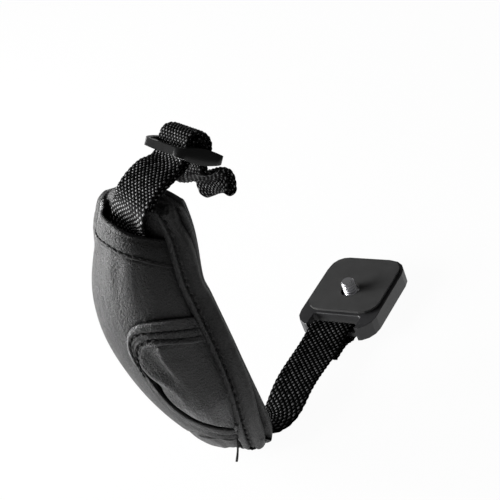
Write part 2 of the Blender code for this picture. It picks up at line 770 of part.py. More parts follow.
def web_route():
    """Stations down the web's middle, each a point and the way across to its front edge."""
    stops = plate_route()
    side = stops[0][1]
    low_across = axes(0.0)[1]
    stops.append((CAMERA_EDGE, side + Vector((0, 0, 0.10))))
    stops.append((CAMERA_EDGE.lerp(PAD_FOOT, 0.44) + Vector((0, -3.8, -3.0)), side.lerp(low_across, 0.4) + Vector((0, 0, 0.16))))
    stops.append((on_grip(-0.056, 0.0, -6.0), low_across))
    stops.append((on_grip(-0.054, 0.0, -1.0), low_across))
    stops.append((on_grip(-0.026, 0.0, 0.8), low_across))
    for t in (0.03, 0.12, 0.24, 0.36, 0.48, 0.60, 0.70):
        shift = -2.6 * max(0.0, t - 0.3) / 0.5
        stops.append((on_grip(t, shift, 0.80 + 0.90 * step(t, 0.05, 0.3)), axes(t)[1]))
    stops.append((on_grip(0.775, -2.4, 2.4), Vector((0.20, -0.96, -0.20))))
    upper = [
        (Vector((-84.8, -24.2, 103.9)), Vector((0.12, -0.96, -0.24))),
        (Vector((-81.6, -26.4, 111.6)), Vector((0.04, -0.98, -0.24))),
        (Vector((-75.8, -26.0, 115.9)), Vector((0.05, -0.98, -0.20))),
        (Vector((-69.0, -25.0, 118.0)), Vector((0.06, -0.98, -0.14))),
        (Vector((-62.4, -23.4, 118.2)), Vector((0.08, -0.98, -0.06))),
    ]
    stops += upper
    for r, n in OUTER_LOOP:
        stops.append((on_buckle(0, r, n), BAR_WAY))
    lug_way = Vector((0.30, -0.86, 0.40)).normalized()
    stops.append((on_buckle(0.0, 5.2, -3.6), BAR_WAY))
    stops.append((on_buckle(0.3, 5.9, -6.6), BAR_WAY.lerp(lug_way, 0.5)))
    stops.append((LUG_AT + Vector((0.4, -0.3, 7.4)), lug_way))
    stops.append((LUG_AT + Vector((1.5, 0.2, 2.4)), lug_way))
    stops.append((LUG_AT + Vector((0.7, 0.4, 0.1)), lug_way))
    stops.append((LUG_AT + Vector((-0.9, 0.4, -0.3)), lug_way))
    stops.append((LUG_AT + Vector((-2.1, 0.1, 1.6)), lug_way))
    stops.append((LUG_AT + Vector((-2.6, -0.4, 7.2)), lug_way))
    stops.append((on_buckle(0.3, 3.5, -7.0), BAR_WAY.lerp(lug_way, 0.5)))
    stops.append((on_buckle(0.0, 2.9, -3.8), BAR_WAY))
    for r, n in INNER_LOOP:
        stops.append((on_buckle(0, r, n), BAR_WAY))
    for (place, way), (before, _) in zip(upper[:1:-1], (upper[2::-1])):
        along = (place - before).normalized()
        out = way.cross(along).normalized()
        stops.append((place - out * 2.3, way))
    place, way = upper[1]
    stops.append((place + Vector((2.6, 0.0, -1.6)), way))
    return stops


def web_lines():
    stops = web_route()
    places = np.array([tuple(p) for p, _ in stops])
    ways = np.array([tuple(w.normalized()) for _, w in stops])
    knots = np.concatenate([[0.0], np.cumsum(np.linalg.norm(np.diff(places, axis=0), axis=1))])
    return Spline(knots, places), Spline(knots, ways), knots[-1]


WEB_PLACE, WEB_WAY, WEB_LENGTH = web_lines()


def web_frame(s):
    along = Vector(WEB_PLACE.slope(s)).normalized()
    across = Vector(WEB_WAY.at(s)).normalized()
    across = (across - along * across.dot(along)).normalized()
    return Vector(WEB_PLACE.at(s)), along, across, across.cross(along)


def web_near(point):
    """How far along the web its middle first comes closest to a point."""
    stations = np.arange(0.0, WEB_LENGTH, 0.5)
    gaps = [(Vector(WEB_PLACE.at(s)) - point).length for s in stations]
    return float(stations[int(np.argmin(gaps))])


# The cross ribs of the weave show where the web is in the open.
SHOWN = (
    (web_near(CAMERA_EDGE) - 4.0, web_near(CAMERA_EDGE) + 20.0),
    (web_near(on_grip(0.79, -2.4, 2.4)), web_near(LUG_AT)),
)


def web_points():
    """Eight points round the web at each station. Stations are closer where it shows or bends."""
    points = []
    s = 0.0
    ribs = 0
    while s < WEB_LENGTH + 1e-6:
        place, along, across, out = web_frame(s)
        shown = any(low < s < high for low, high in SHOWN)
        rib = 0.0
        if shown:
            rib = WEB_RIB if ribs % 2 else -WEB_RIB
        half_w = WEB_W / 2 * (1 - LUG_GATHER * math.exp(-(((place - LUG_AT).length / 9.0) ** 2)))
        ring = (
            (-half_w, -0.28), (-half_w + 0.5, -0.5), (half_w - 0.5, -0.5), (half_w, -0.28),
            (half_w, 0.28), (half_w - 0.5, 0.5), (-half_w + 0.5, 0.5), (-half_w, 0.28),
        )
        for w, h in ring:
            thick = WEB_T + (rib if abs(h) == 0.5 else 0.0)
            points.append(place + across * w + out * h * thick)
        ribs += 1
        turn = along.angle(Vector(WEB_PLACE.slope(s + 1.0)))
        onward = RIB_PITCH / 2 if shown else min(5.0, max(1.1, 0.30 / max(turn, 0.01)))
        rest = WEB_LENGTH - s
        s = WEB_LENGTH if 1e-3 < rest < onward else s + onward
    return points


def web_faces(count):
    rows = count // 8
    faces = []
    for i in range(rows - 1):
        for k in range(8):
            a = i * 8 + k
            b = i * 8 + (k + 1) % 8
            faces.append((a, b, b + 8, a + 8))
    faces.append(tuple(range(7, -1, -1)))
    faces.append(tuple((rows - 1) * 8 + k for k in range(8)))
    return faces


ribbon = web_points()
webbing = mesh_object("webbing", ribbon, web_faces(len(ribbon)))
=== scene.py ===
"""The looks of a padded camera wrist strap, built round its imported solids.

Working lengths are millimetres, and meshes are written in metres.
"""

import bpy
import numpy as np
from mathutils import Matrix
from numpy import array, clip, concatenate, cos, cross, exp, linspace, maximum, meshgrid, minimum
from numpy import pi, radians, sign, sin, sqrt, stack, where, zeros


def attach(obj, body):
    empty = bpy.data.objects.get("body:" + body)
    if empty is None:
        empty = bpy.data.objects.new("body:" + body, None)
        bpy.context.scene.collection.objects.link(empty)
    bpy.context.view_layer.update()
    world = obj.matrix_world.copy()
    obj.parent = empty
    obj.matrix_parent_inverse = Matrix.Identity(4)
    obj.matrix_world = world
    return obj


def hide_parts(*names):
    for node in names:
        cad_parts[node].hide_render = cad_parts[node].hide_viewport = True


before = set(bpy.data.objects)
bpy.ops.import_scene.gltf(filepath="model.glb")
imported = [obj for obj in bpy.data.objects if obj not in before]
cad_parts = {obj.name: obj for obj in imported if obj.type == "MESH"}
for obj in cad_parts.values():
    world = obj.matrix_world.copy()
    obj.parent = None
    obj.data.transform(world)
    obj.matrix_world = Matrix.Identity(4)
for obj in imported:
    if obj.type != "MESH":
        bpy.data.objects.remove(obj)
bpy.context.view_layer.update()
MM = 0.001
rng = np.random.default_rng(11)


def unit(a):
    return a / np.linalg.norm(a, axis=-1, keepdims=True)


def step(x, low, high):
    """0 up to low, 1 from high on, and a smooth rise between them."""
    x = clip((x - low) / (high - low), 0, 1)
    return x * x * (3 - 2 * x)


def hill(x, width):
    """1 at x = 0, falling away smoothly on both sides."""
    return exp(-((x / width) ** 2))


def path_length(line):
    """The distance gone at each point of a line, from 0 at its first."""
    return concatenate([[0.0], np.cumsum(np.linalg.norm(np.diff(line, axis=0), axis=1))])


class Spline:
    """A natural cubic spline through values at rising knots; straight beyond its ends."""

    def __init__(self, knots, values):
        self.x = array(knots, float)
        self.y = array(values, float)
        if self.y.ndim == 1:
            self.y = self.y[:, None]
        count = len(self.x)
        gaps = np.diff(self.x)
        system = np.eye(count)
        right = np.zeros_like(self.y)
        for i in range(1, count - 1):
            system[i, i - 1 : i + 2] = gaps[i - 1], 2 * (gaps[i - 1] + gaps[i]), gaps[i]
            rise = (self.y[i + 1] - self.y[i]) / gaps[i] - (self.y[i] - self.y[i - 1]) / gaps[i - 1]
            right[i] = 6 * rise
        self.second = np.linalg.solve(system, right)

    def parts(self, t):
        x = self.x
        inside = clip(np.asarray(t, float), x[0], x[-1])
        i = clip(np.searchsorted(x, inside, side="right") - 1, 0, len(x) - 2)
        h = (x[i + 1] - x[i])[..., None]
        return inside, i, h, (x[i + 1] - inside)[..., None] / h, (inside - x[i])[..., None] / h

    def slope(self, t):
        _, i, h, a, b = self.parts(t)
        y, m = self.y, self.second
        return (y[i + 1] - y[i]) / h + ((1 - 3 * a * a) * m[i] + (3 * b * b - 1) * m[i + 1]) * h / 6

    def at(self, t):
        inside, i, h, a, b = self.parts(t)
        y, m = self.y, self.second
        value = a * y[i] + b * y[i + 1] + ((a**3 - a) * m[i] + (b**3 - b) * m[i + 1]) * h * h / 6
        return value + self.slope(inside) * (np.asarray(t, float) - inside)[..., None]

    def one(self, t):
        return self.at(t)[..., 0]


# The grip's surface, as the solids have it. t runs from its foot, 0, to its top, 1. v is millimetres
# across it, above 0 towards the front, and n is millimetres out from it.
PAD_LENGTH = 130.0
HALF_WIDTH = 28.5
PAD_FOOT = array((-87.5, -35.0, -0.8))
CROWN = 10.6
MIDDLE_WAY = (
    (0.0, 0.0, 0.0), (-5.9, -2.0, 24.4), (-8.2, 4.0, 51.3),
    (-5.7, 9.8, 77.1), (4.6, 12.2, 97.9), (10.6, 14.6, 121.2),
)
MIDDLE = Spline((0.0, 0.2, 0.4, 0.6, 0.8, 1.0), PAD_FOOT + array(MIDDLE_WAY))
TURN = Spline((0.0, 0.5, 1.0), (27.9, 40.9, 9.4))
HALF = Spline(
    (-0.06, 0.0, 0.08, 0.25, 0.5, 0.72, 0.88, 0.93, 0.98),
    [HALF_WIDTH * f for f in (0.56, 0.69, 0.79, 0.935, 1.025, 0.905, 0.73, 0.65, 0.45)],
)
RISE = Spline((0.0, 0.1, 0.2, 0.5, 0.85, 1.0), [CROWN * f for f in (0.26, 0.42, 0.585, 0.98, 0.92, 0.68)])
FRONT_SEAM = Spline(
    (-0.03, 0.04, 0.14, 0.21, 0.29, 0.38, 0.48, 0.565, 0.70, 0.78, 0.843, 0.885, 0.92, 0.95),
    (9.8, 11.7, 15.7, 18.5, 20.8, 22.1, 22.6, 22.4, 20.2, 17.9, 15.9, 14.2, 11.6, 8.4),
)
FRONT_WELT = Spline((0.0, 0.1, 0.25, 0.5, 0.8, 1.0), (3.2, 3.0, 2.3, 2.4, 2.5, 2.5))
BACK_WELT, WELT_N, WELT_R, WELT_GAP = 2.4, 1.15, 1.25, 0.25
BACK_RIM, CREST_N, SHEET_TUCK = 7.0, 1.9, 0.45
FRONT_BEND, BACK_BEND, BACK_FLAT = 0.013, 0.056, 7.0
GROOVE_PITCH, SEAM_PITCH = 3.4, 3.5
IN_MM = array((PAD_LENGTH, 1.0))


def half(t, v):
    """Half the grip's width, on the side of v."""
    wide = HALF.one(t)
    return where(v > 0, wide, wide - step(t, 0.0, 0.2) + 3.6 * step(t, 0.55, 0.80))


def roll_edge(t, v):
    """The rolls' outer edge, which draws in where the grip turns over at the top."""
    drawn = 2.1 * hill(t - 0.855, 0.045) + 1.1 * step(t, 0.87, 0.93) + 2.7 * (1 - step(t, 0.04, 0.24))
    return half(t, v) - where(v > 0, drawn, 0.0)


def rim(t):
    """Width of the back roll."""
    return BACK_RIM * (1 - 0.20 * (1 - step(t, 0.0, 0.14)) - 0.20 * step(t, 0.66, 0.84))


def seam(t, v):
    """How far out the stitched groove between welt and roll lies."""
    return where(v > 0, FRONT_SEAM.one(t), half(t, v) - rim(t))


def welt_wide(t, v):
    return where(v > 0, FRONT_WELT.one(t), BACK_WELT)


def cover_edge(t, v):
    """How far out the cover reaches, just short of the welt."""
    return maximum(seam(t, v) - welt_wide(t, v) - WELT_GAP, 1.0)


def axes(t):
    """Directions along, across and out of the grip."""
    along = unit(MIDDLE.slope(t))
    turn = radians(TURN.one(t))
    across = stack([sin(turn), -cos(turn), 0 * turn], -1)
    across = unit(across - along * (across * along).sum(-1, keepdims=True))
    return along, across, cross(across, along)


def on_grip(t, v, n):
    """The point at t along the grip, v across it and n out from it."""
    t, v, n = np.broadcast_arrays(*(np.asarray(x, float) for x in (t, v, n)))
    _, across, out = axes(t)
    back = BACK_BEND * (1.45 - 0.45 * step(t, 0.12, 0.42) - 0.72 * step(t, 0.60, 0.86))
    bend = where(v > 0, FRONT_BEND, back)
    flat = where(v > 0, 0.0, BACK_FLAT)
    angle = bend * maximum(0, abs(v) - flat)
    x = minimum(abs(v), flat) + sin(angle) / bend + n * sin(angle)
    y = -(1 - cos(angle)) / bend + n * cos(angle)
    return MIDDLE.at(t) + across * (sign(v) * x)[..., None] + out * y[..., None]


def crown(t, v):
    """The cover's outer face above the padded base."""
    q = minimum(1, abs(v) / cover_edge(t, v))
    power = where(v > 0, 2.2, 2.5) + 3.4 * (1 - step(t, 0.0, 0.14))
    return RISE.one(t) * (1 - q**power) + CREST_N


TABLE_SIZE, NEAR_STEPS = 64, 90
TABLE = rng.random((TABLE_SIZE, TABLE_SIZE)) * 2 - 1


def bumps(x, y, seed=0):
    """Smooth noise from -1 to 1 with one bump per unit."""
    x = np.asarray(x, float) + 17.3 * seed
    y = np.asarray(y, float) + 9.7 * seed
    i, j = np.floor(x).astype(int), np.floor(y).astype(int)
    a, b = x - i, y - j
    a, b = a * a * (3 - 2 * a), b * b * (3 - 2 * b)
    i, j = i % TABLE_SIZE, j % TABLE_SIZE
    k, m = (i + 1) % TABLE_SIZE, (j + 1) % TABLE_SIZE
    return (TABLE[i, j] * (1 - a) + TABLE[k, j] * a) * (1 - b) + (TABLE[i, m] * (1 - a) + TABLE[k, m] * a) * b


def near(curve, t, v):
    """Distance in millimetres from (t, v) to a curve of (t, v) points, with its share along and its side."""
    rows = Spline(linspace(0, 1, len(curve)), curve)
    points = rows.at(linspace(0, 1, NEAR_STEPS)) * IN_MM
    here = stack([t * PAD_LENGTH, v], -1)
    gaps = np.linalg.norm(here[..., None, :] - points, axis=-1)
    index = gaps.argmin(-1)
    way = np.gradient(points, axis=0)[index]
    apart = here - points[index]
    side = sign(way[..., 0] * apart[..., 1] - way[..., 1] * apart[..., 0])
    return gaps.min(-1), index / (NEAR_STEPS - 1), side


# Meshes
FAR_UV = 400.0
THREAD_SIDES, THREAD_ROWS, THREAD_DIVE = 8, 9, 0.35


def mesh_of(name, points, faces, uv, looks, facts=None):
    mesh = bpy.data.meshes.new(name)
    mesh.from_pydata((points * MM).tolist(), [], faces)
    mesh.update()
    index = np.empty(len(mesh.loops), np.int32)
    mesh.loops.foreach_get("vertex_index", index)
    layer = mesh.uv_layers.new(name="UVMap")
    layer.data.foreach_set("uv", uv[index].astype(np.float32).ravel())
    for key, values in (facts or {}).items():
        fact = mesh.attributes.new(key, "FLOAT", "POINT")
        fact.data.foreach_set("value", np.asarray(values, np.float32).ravel())
    mesh.polygons.foreach_set("use_smooth", np.ones(len(mesh.polygons), bool))
    mesh.materials.append(looks)
    obj = bpy.data.objects.new(name, mesh)
    bpy.context.scene.collection.objects.link(obj)
    return obj


def skin_of(rows, columns):
    """The faces between neighbouring rings of points, and one over each end."""
    base = np.arange(rows * columns).reshape(rows, columns)
    turned = np.roll(base, -1, axis=1)
    quads = stack([base[:-1], turned[:-1], turned[1:], base[1:]], -1).reshape(-1, 4)
    return quads.tolist() + [base[0, ::-1].tolist(), base[-1].tolist()]


def loft(name, rings, uv, looks, facts=None):
    """A closed skin over rings of points, turned to face outwards."""
    rows, columns = rings.shape[:2]
    faces = skin_of(rows, columns)
    points = rings.reshape(-1, 3)
    centre = rings.mean(1)[:-1].repeat(columns, 0)
    a, b, c = (points[corners] for corners in array(faces[:-2]).T[:3])
    if (cross(b - a, c - a) * (a - centre)).sum() < 0:
        faces = [face[::-1] for face in faces]
    return mesh_of(name, points, faces, uv.reshape(-1, 2), looks, facts)


def layer(name, nodes, place, a, b, thick, looks, lengths, back=24):
    """A sheet with rounded edges.

    place(a, b, n, outer) gives its points and facts. a runs across it, b from ring to ring, n is the
    height over its outer face, and outer is 1 on that face and 0 on the inner one. a and b are given
    as numbers of steps, or as the steps themselves.
    """
    a, b = (linspace(0, 1, steps) if isinstance(steps, int) else steps for steps in (a, b))
    bow = linspace(0, pi, 9)[1:-1]
    reach = thick / 2 * sin(bow) / lengths[0]
    drop = thick / 2 * (1 - cos(bow))
    inner = linspace(1, 0, back)
    path_a = concatenate([a, 1 + reach, inner, -reach])
    path_n = concatenate([0 * a, -drop, 0 * inner - thick, drop - thick])
    path_outer = concatenate([0 * a + 1, 0.5 * (1 + cos(bow)), 0 * inner, 0.5 * (1 - cos(bow))])
    across, down = meshgrid(path_a, b)
    height, outer = (np.broadcast_to(path, across.shape) for path in (path_n, path_outer))
    rings, facts = place(across, down, height, outer)
    uv = stack([across * lengths[0] + FAR_UV * (outer < 0.3), down * lengths[1]], -1)
    return strap(loft(name, rings, uv, looks, facts), "grip_leather", *nodes)


def thread(name, t, v, lift, pitch, long, thick):
    """Short thread runs along (t, v) on the grip, each diving into its holes at both ends."""
    line = on_grip(t, v, lift)
    out = on_grip(t, v, lift + 1) - line
    travel = path_length(line)
    turn = 2 * pi * np.arange(THREAD_SIDES) / THREAD_SIDES
    rows = linspace(-1, 1, THREAD_ROWS)
    radius = thick / 2 * (0.25 + 0.75 * sqrt(1 - 0.92 * rows**2))
    skin = skin_of(THREAD_ROWS, THREAD_SIDES)
    points, faces, uvs = [], [], []
    for middle in np.arange(pitch / 2, travel[-1] - pitch / 2, pitch):
        middle += rng.uniform(-0.12, 0.12)
        size = long * rng.uniform(0.94, 1.05)
        lean = rng.uniform(-0.10, 0.10)
        spots = middle + rows * size / 2
        place, up = (stack([np.interp(spots, travel, axis) for axis in way.T], -1) for way in (line, out))
        up = unit(up)
        side = unit(cross(unit(np.gradient(place, axis=0)), up))
        centre = place - up * (THREAD_DIVE * rows**4)[:, None] + side * (lean * rows)[:, None]
        ring = side[:, None] * cos(turn)[:, None] + 0.9 * up[:, None] * sin(turn)[:, None]
        first = len(points) * THREAD_ROWS * THREAD_SIDES
        faces += [[first + corner for corner in face] for face in skin]
        points.append(centre[:, None] + ring * radius[:, None, None])
        uvs.append(stack(np.broadcast_arrays(spots[:, None], thick / 2 * turn), -1))
    points, uvs = array(points).reshape(-1, 3), array(uvs).reshape(-1, 2)
    return strap(mesh_of(name, points, faces, uvs, THREAD), "grip_leather")


# Materials


def grey(level, blue=0.0):
    return level, level, level + blue


class Nodes:
    """A node tree, with short ways to add to it."""

    def __init__(self, tree):
        self.tree = tree

    def put(self, node, slot, value):
        """Set an input to a plain value, or link it to another node's output."""
        if isinstance(value, bpy.types.NodeSocket):
            self.tree.links.new(value, node.inputs[slot])
        else:
            node.inputs[slot].default_value = value

    def add(self, kind, **values):
        node = self.tree.nodes.new("ShaderNode" + kind)
        for key, value in values.items():
            if key in node.inputs:
                self.put(node, key, value)
            else:
                setattr(node, key, value)
        return node

    def maths(self, operation, a, b, clamp=False):
        node = self.add("Math", operation=operation, use_clamp=clamp)
        self.put(node, 0, a)
        self.put(node, 1, b)
        return node.outputs[0]

    def times(self, a, b):
        return self.maths("MULTIPLY", a, b)

    def plus(self, total, *values):
        for value in values:
            total = self.maths("ADD", total, value)
        return total

    def ramp(self, value, *stops):
        node = self.add("ValToRGB", Fac=value)
        elements = node.color_ramp.elements
        for i, (at, colour) in enumerate(stops):
            element = elements[i] if i < 2 else elements.new(at)
            element.position = at
            element.color = (*colour, 1)
        return node.outputs[0]

    def mapped(self, scale, source="UV"):
        place = self.add("TexCoord").outputs[source]
        return self.add("Mapping", Scale=scale, Vector=place).outputs[0]

    def solid(self):
        """Coordinates in millimetres."""
        return self.mapped((1000, 1000, 1000), "Object")

    def noise(self, vector, scale, detail=2.0, roughness=0.5):
        node = self.add("TexNoise", Vector=vector, Scale=scale, Detail=detail, Roughness=roughness)
        return node.outputs["Fac"]

    def fact(self, name):
        """A number that the mesh carries at each point."""
        return self.add("Attribute", attribute_name=name).outputs["Fac"]

    def tinted(self, colour, amount):
        """The colour times a grey amount."""
        mix = self.add("Mix", data_type="RGBA", blend_type="MULTIPLY")
        for slot, value in ((0, 1.0), (6, colour), (7, amount)):
            self.put(mix, slot, value)
        return mix.outputs[2]

    def show(self, output, usual, seen, share, *rays):
        """Give the output the usual shader, and a share of the seen one on the two kinds of rays."""
        path = self.add("LightPath")
        either = self.maths("MAXIMUM", *(path.outputs[f"Is {ray} Ray"] for ray in rays))
        mixer = self.add("MixShader")
        for slot, value in enumerate((self.times(either, share), usual.outputs[0], seen.outputs[0])):
            self.put(mixer, slot, value)
        self.put(self.tree.nodes[output], "Surface", mixer.outputs[0])


class Material(Nodes):
    """A material with one main shader."""

    def __init__(self, name, base, roughness, specular=0.5):
        self.looks = bpy.data.materials.new(name)
        self.looks.use_nodes = True
        super().__init__(self.looks.node_tree)
        self.shader = self.tree.nodes["Principled BSDF"]
        self.relief = None
        self.set("Base Color", (*base, 1))
        self.set("Roughness", roughness)
        self.set("Specular IOR Level", specular)

    def set(self, slot, value):
        self.put(self.shader, slot, value)

    def bump(self, height, strength, distance):
        """Relief in metres, over the relief that is there already."""
        node = self.add("Bump", Strength=strength, Distance=distance, Height=height)
        if self.relief:
            self.put(node, "Normal", self.relief)
        self.relief = node.outputs[0]
        self.set("Normal", self.relief)


def leather(name, dark, light, roughness, creases, grain):
    """Soft matt hide: fine pebble grain, long thin creases, edges rubbed a little paler, painted highlights on
    lit edges and ridges, and painted shade in creases, gaps and on parts turned from the light.
    """
    m = Material(name, light, roughness)
    solid = m.solid()
    pebble = m.add("TexVoronoi", Scale=1.5, feature="DISTANCE_TO_EDGE", Vector=solid)
    cells = m.maths("SMOOTH_MIN", pebble.outputs["Distance"], 0.16)
    fine = m.noise(solid, 2.6, 3.0, 0.6)
    coarse = m.noise(solid, 1.15, 3.0, 0.62)
    long_way = m.noise(m.mapped((0.25, 0.95, 1)), 1.0, 4.0, 0.62)
    folds = m.noise(m.mapped((0.07, 0.26, 1)), 1.0)
    patches = m.noise(solid, 0.06)
    # The wear-and-light fact pales rubbed edges and adds painted highlights, and below zero it paints shade.
    # It also lowers the roughness there.
    wear_and_painted_light = m.fact("wear_and_painted_light")
    sparks = m.times(m.maths("SUBTRACT", coarse, 0.56, True), 1.6 * grain)
    tone = m.plus(m.times(patches, 0.55), m.times(fine, 0.25), m.times(long_way, 0.30), wear_and_painted_light, sparks)
    # The ramp's top stop, far above the hide's own tone, carries the painted highlights.
    colour = m.ramp(tone, (0.25, dark), (0.85, light), (1.0, [4.2 * c for c in light]))
    # The painted-shade fact darkens the colour and the reflection in creases, gaps and hollows.
    unshaded_share = m.maths("SUBTRACT", 1.0, m.fact("painted_shade"), True)
    m.set("Base Color", m.tinted(colour, unshaded_share))
    m.set("Specular IOR Level", m.times(unshaded_share, 0.5))
    rough = m.plus(m.times(fine, 0.16), roughness - 0.08)
    m.set("Roughness", m.maths("SUBTRACT", rough, m.times(wear_and_painted_light, 0.30)))
    m.bump(folds, 0.6 * creases, 0.0012)
    m.bump(long_way, 0.55 * creases, 0.0006)
    m.bump(coarse, grain, 0.0014)
    m.bump(cells, 0.55 * grain, 0.0008)
    m.bump(fine, 0.8 * grain, 0.0006)
    return m.looks


def webbing_looks(name):
    """Woven polyamide: the raised floats are painted lighter as a painted highlight, the gaps between the
    yarns painted black as painted shade, and the shade fact adds painted shade to colour and reflection.
    """
    m = Material(name, grey(0.02, 0.001), 0.5)
    lift, shade = m.fact("lift"), m.fact("shade")
    colour = m.ramp(lift, (0.0, grey(0.001)), (0.4, grey(0.010)), (1.0, grey(0.19, 0.004)))
    m.set("Base Color", m.tinted(colour, shade))
    gloss = m.ramp(lift, (0.15, grey(0.02)), (0.8, grey(0.5)))
    m.set("Specular IOR Level", m.tinted(gloss, shade))
    fibres = m.noise(m.mapped((7.0, 1.6, 1)), 1.0, 3.0, 0.6)
    m.set("Roughness", m.plus(m.times(fibres, 0.25), 0.34))
    m.bump(fibres, 0.6, 0.00012)
    return m.looks


def plastic(name, base, roughness, grain, specular=0.5):
    m = Material(name, base, roughness, specular)
    solid = m.solid()
    broad = m.noise(solid, 0.15)
    m.set("Roughness", m.plus(m.times(broad, 0.12), roughness - 0.06))
    m.set("Base Color", m.ramp(broad, (0.3, base), (0.8, [1.5 * c for c in base])))
    m.bump(m.noise(solid, 3.5), grain, 0.00008)
    return m.looks


def thread_looks(name):
    m = Material(name, grey(0.0025), 0.6, 0.25)
    twist = m.add("TexWave", Scale=1.0, Distortion=0.3, Vector=m.mapped((2.2, 3.0, 1)))
    m.bump(twist.outputs["Fac"], 0.6, 0.00012)
    return m.looks


def lining_looks(name):
    """Brushed cloth with a short nap."""
    m = Material(name, grey(0.02, 0.001), 0.9, 0.25)
    solid = m.solid()
    nap = m.noise(solid, 4.0, 4.0, 0.7)
    tone = m.plus(m.times(nap, 0.5), m.times(m.noise(solid, 0.12), 0.5))
    m.set("Base Color", m.ramp(tone, (0.3, grey(0.028, 0.001)), (0.8, grey(0.070, 0.003))))
    m.bump(nap, 0.6, 0.0003)
    m.set("Sheen Weight", 0.5)
    m.set("Sheen Roughness", 0.45)
    return m.looks


def steel_looks(name):
    """Turned steel, with fine lines round it."""
    m = Material(name, grey(0.55, 0.02), 0.28)
    m.set("Metallic", 1.0)
    lines = m.noise(m.mapped((300, 300, 6000), "Object"), 1.0, 3.0, 0.6)
    m.set("Roughness", m.plus(m.times(lines, 0.25), 0.18))
    m.bump(lines, 0.3, 0.00004)
    return m.looks


DARK, LIGHT = grey(0.010, 0.0003), grey(0.022, 0.0005)
HIDE = leather("grip_hide", DARK, LIGHT, 0.42, 0.75, 1.0)
ROLL_HIDE = leather("roll_hide", grey(0.0078, 0.0002), grey(0.018, 0.0004), 0.50, 0.5, 0.7)
MOUTH_HIDE = leather("mouth_hide", grey(0.0060, 0.0002), grey(0.0145, 0.0004), 0.40, 0.9, 0.9)
HEM_HIDE = leather("hem_hide", DARK, LIGHT, 0.40, 0.7, 0.9)
PANEL_HIDE = leather("panel_hide", DARK, LIGHT, 0.43, 0.9, 1.0)
LINING = lining_looks("brushed_lining")
WEB = webbing_looks("woven_web")
THREAD = thread_looks("black_thread")
BUCKLE = plastic("buckle_plastic", grey(0.0042, 0.0002), 0.34, 0.15, 0.30)
PLATE = plastic("plate_plastic", grey(0.014, 0.001), 0.45, 0.5)
RUBBER = plastic("seat_rubber", grey(0.02), 0.8, 0.8)
STEEL = steel_looks("screw_steel")


def strap(obj, slot, *nodes):
    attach(obj, "strap")
    if nodes:
        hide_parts(*nodes)
    return obj


# Padded base: a front roll, a crease, and the backing's thinner roll under it
ROLL_FROM, ROLL_TO = 150, -48
ROLL_MIDDLE, ROLL_UP, ROLL_DOWN = -1.6, 2.7, 3.6
BACKING_R, BACKING_N, UNDER_N = 2.4, -5.9, -7.65
PAD_CORE, PAD_END = -3.4, 0.032
PINCH_T = 0.905


def fan(side, kind, first, last, count):
    """Stations of one kind. With side 0 their own sign gives the side."""
    values = linspace(first, last, count)
    if side:
        return [(side, kind, value) for value in values]
    return [(1 if value > 0 else -1, kind, abs(value)) for value in values]


def loop_of_pad():
    """(side, kind, angle or share) stations round the section, listed once and used at every t."""
    return (
        fan(1, "roll", ROLL_FROM, ROLL_TO, 30)
        + fan(1, "backing", 40, -90, 12)
        + fan(0, "under", 0.88, -0.88, 17)
        + fan(-1, "backing", -90, 40, 12)
        + fan(-1, "roll", ROLL_TO, ROLL_FROM, 30)
        + fan(0, "top", -0.97, 0.97, 27)
    )


def pad_point(t, side, kind, value):
    """v and n of one station at t."""
    inner = seam(t, side)
    if kind == "roll":
        s = sin(radians(value))
        first = cos(radians(ROLL_FROM))
        share = (cos(radians(value)) - first) / (1 - first)
        flat = abs(s) ** 0.72 * (ROLL_UP if s > 0 else -ROLL_DOWN)
        groove = 0.15 * hill(value - ROLL_FROM, 6)
        return side * (inner + (roll_edge(t, side) - inner) * share), ROLL_MIDDLE + flat - groove + 0 * t
    outer = half(t, side) + (0.5 * (1 - step(t, 0.0, 0.10)) if side > 0 else 0.0)
    if kind == "backing":
        angle = radians(value)
        wide = -0.4 if side > 0 else -0.5
        v = (outer - BACKING_R) + (BACKING_R + wide) * max(0.0, cos(angle)) ** 0.8
        return side * v, BACKING_N + 1.75 * sin(angle) + 0 * t
    if kind == "under":
        return side * (outer - BACKING_R) * value, UNDER_N + 0 * t
    pillow = 2.6 * step(t, 0.77, 0.83) * (1 - step(t, 0.90, 0.945)) * sin(pi * min(1.0, value / 0.97)) ** 0.7
    return side * inner * value, -0.45 - 0.25 * value**8 + pillow * (1.0 if side > 0 else 0.3)


def roll_folds(t, side, value):
    """Height of the front or back roll's soft lumps, pinch and crumple, and where the pinch's fold gets a
    painted shade line.
    """
    way = value / ROLL_FROM
    soft = 0.34 * bumps(t * 26, 1.2 * way + side * 5, 3) + 0.16 * bumps(t * 70, 2.5 * way + side * 5, 5)
    height = soft * cos(radians(max(-90, min(90, value * 0.6)))) ** 2
    pinch_shade_line = 0 * t
    # A pinched fold where the roll turns at the top of the front
    if side > 0:
        pinch = hill(t - PINCH_T - 0.0001 * value, 0.0075) - 0.5 * hill(t - 0.885, 0.012)
        height = height - 2.2 * pinch * hill(value - 105, 55)
        pinch_shade_line = hill(t - PINCH_T, 0.006) * hill(value - 110, 40)
        crumple = 2.3 * (0.35 - abs(bumps(t * 62, value / 26, 21))) + 0.4 * bumps(t * 150, value / 12, 22)
        height = height + crumple * step(t, 0.858, 0.89)
    return height, pinch_shade_line


def roll_shade(t, s, side, value, pinch_shade_line):
    """How much painted shade the roll gets: at its two creases, in its fold and down its front."""
    creases = 0.25 * step(value, 138.0, 150.0) + 0.8 * step(-value, 34.0, 46.0)
    painted_shade = creases * step(s, 0.035, 0.09)
    if side < 0:
        return maximum(painted_shade, 0.92 * step(value, 96.0, 124.0))
    if value > 0:
        painted_shade = maximum(painted_shade, 0.85 * pinch_shade_line)
    return maximum(painted_shade, 0.26 * step(t, 0.22, 0.55))


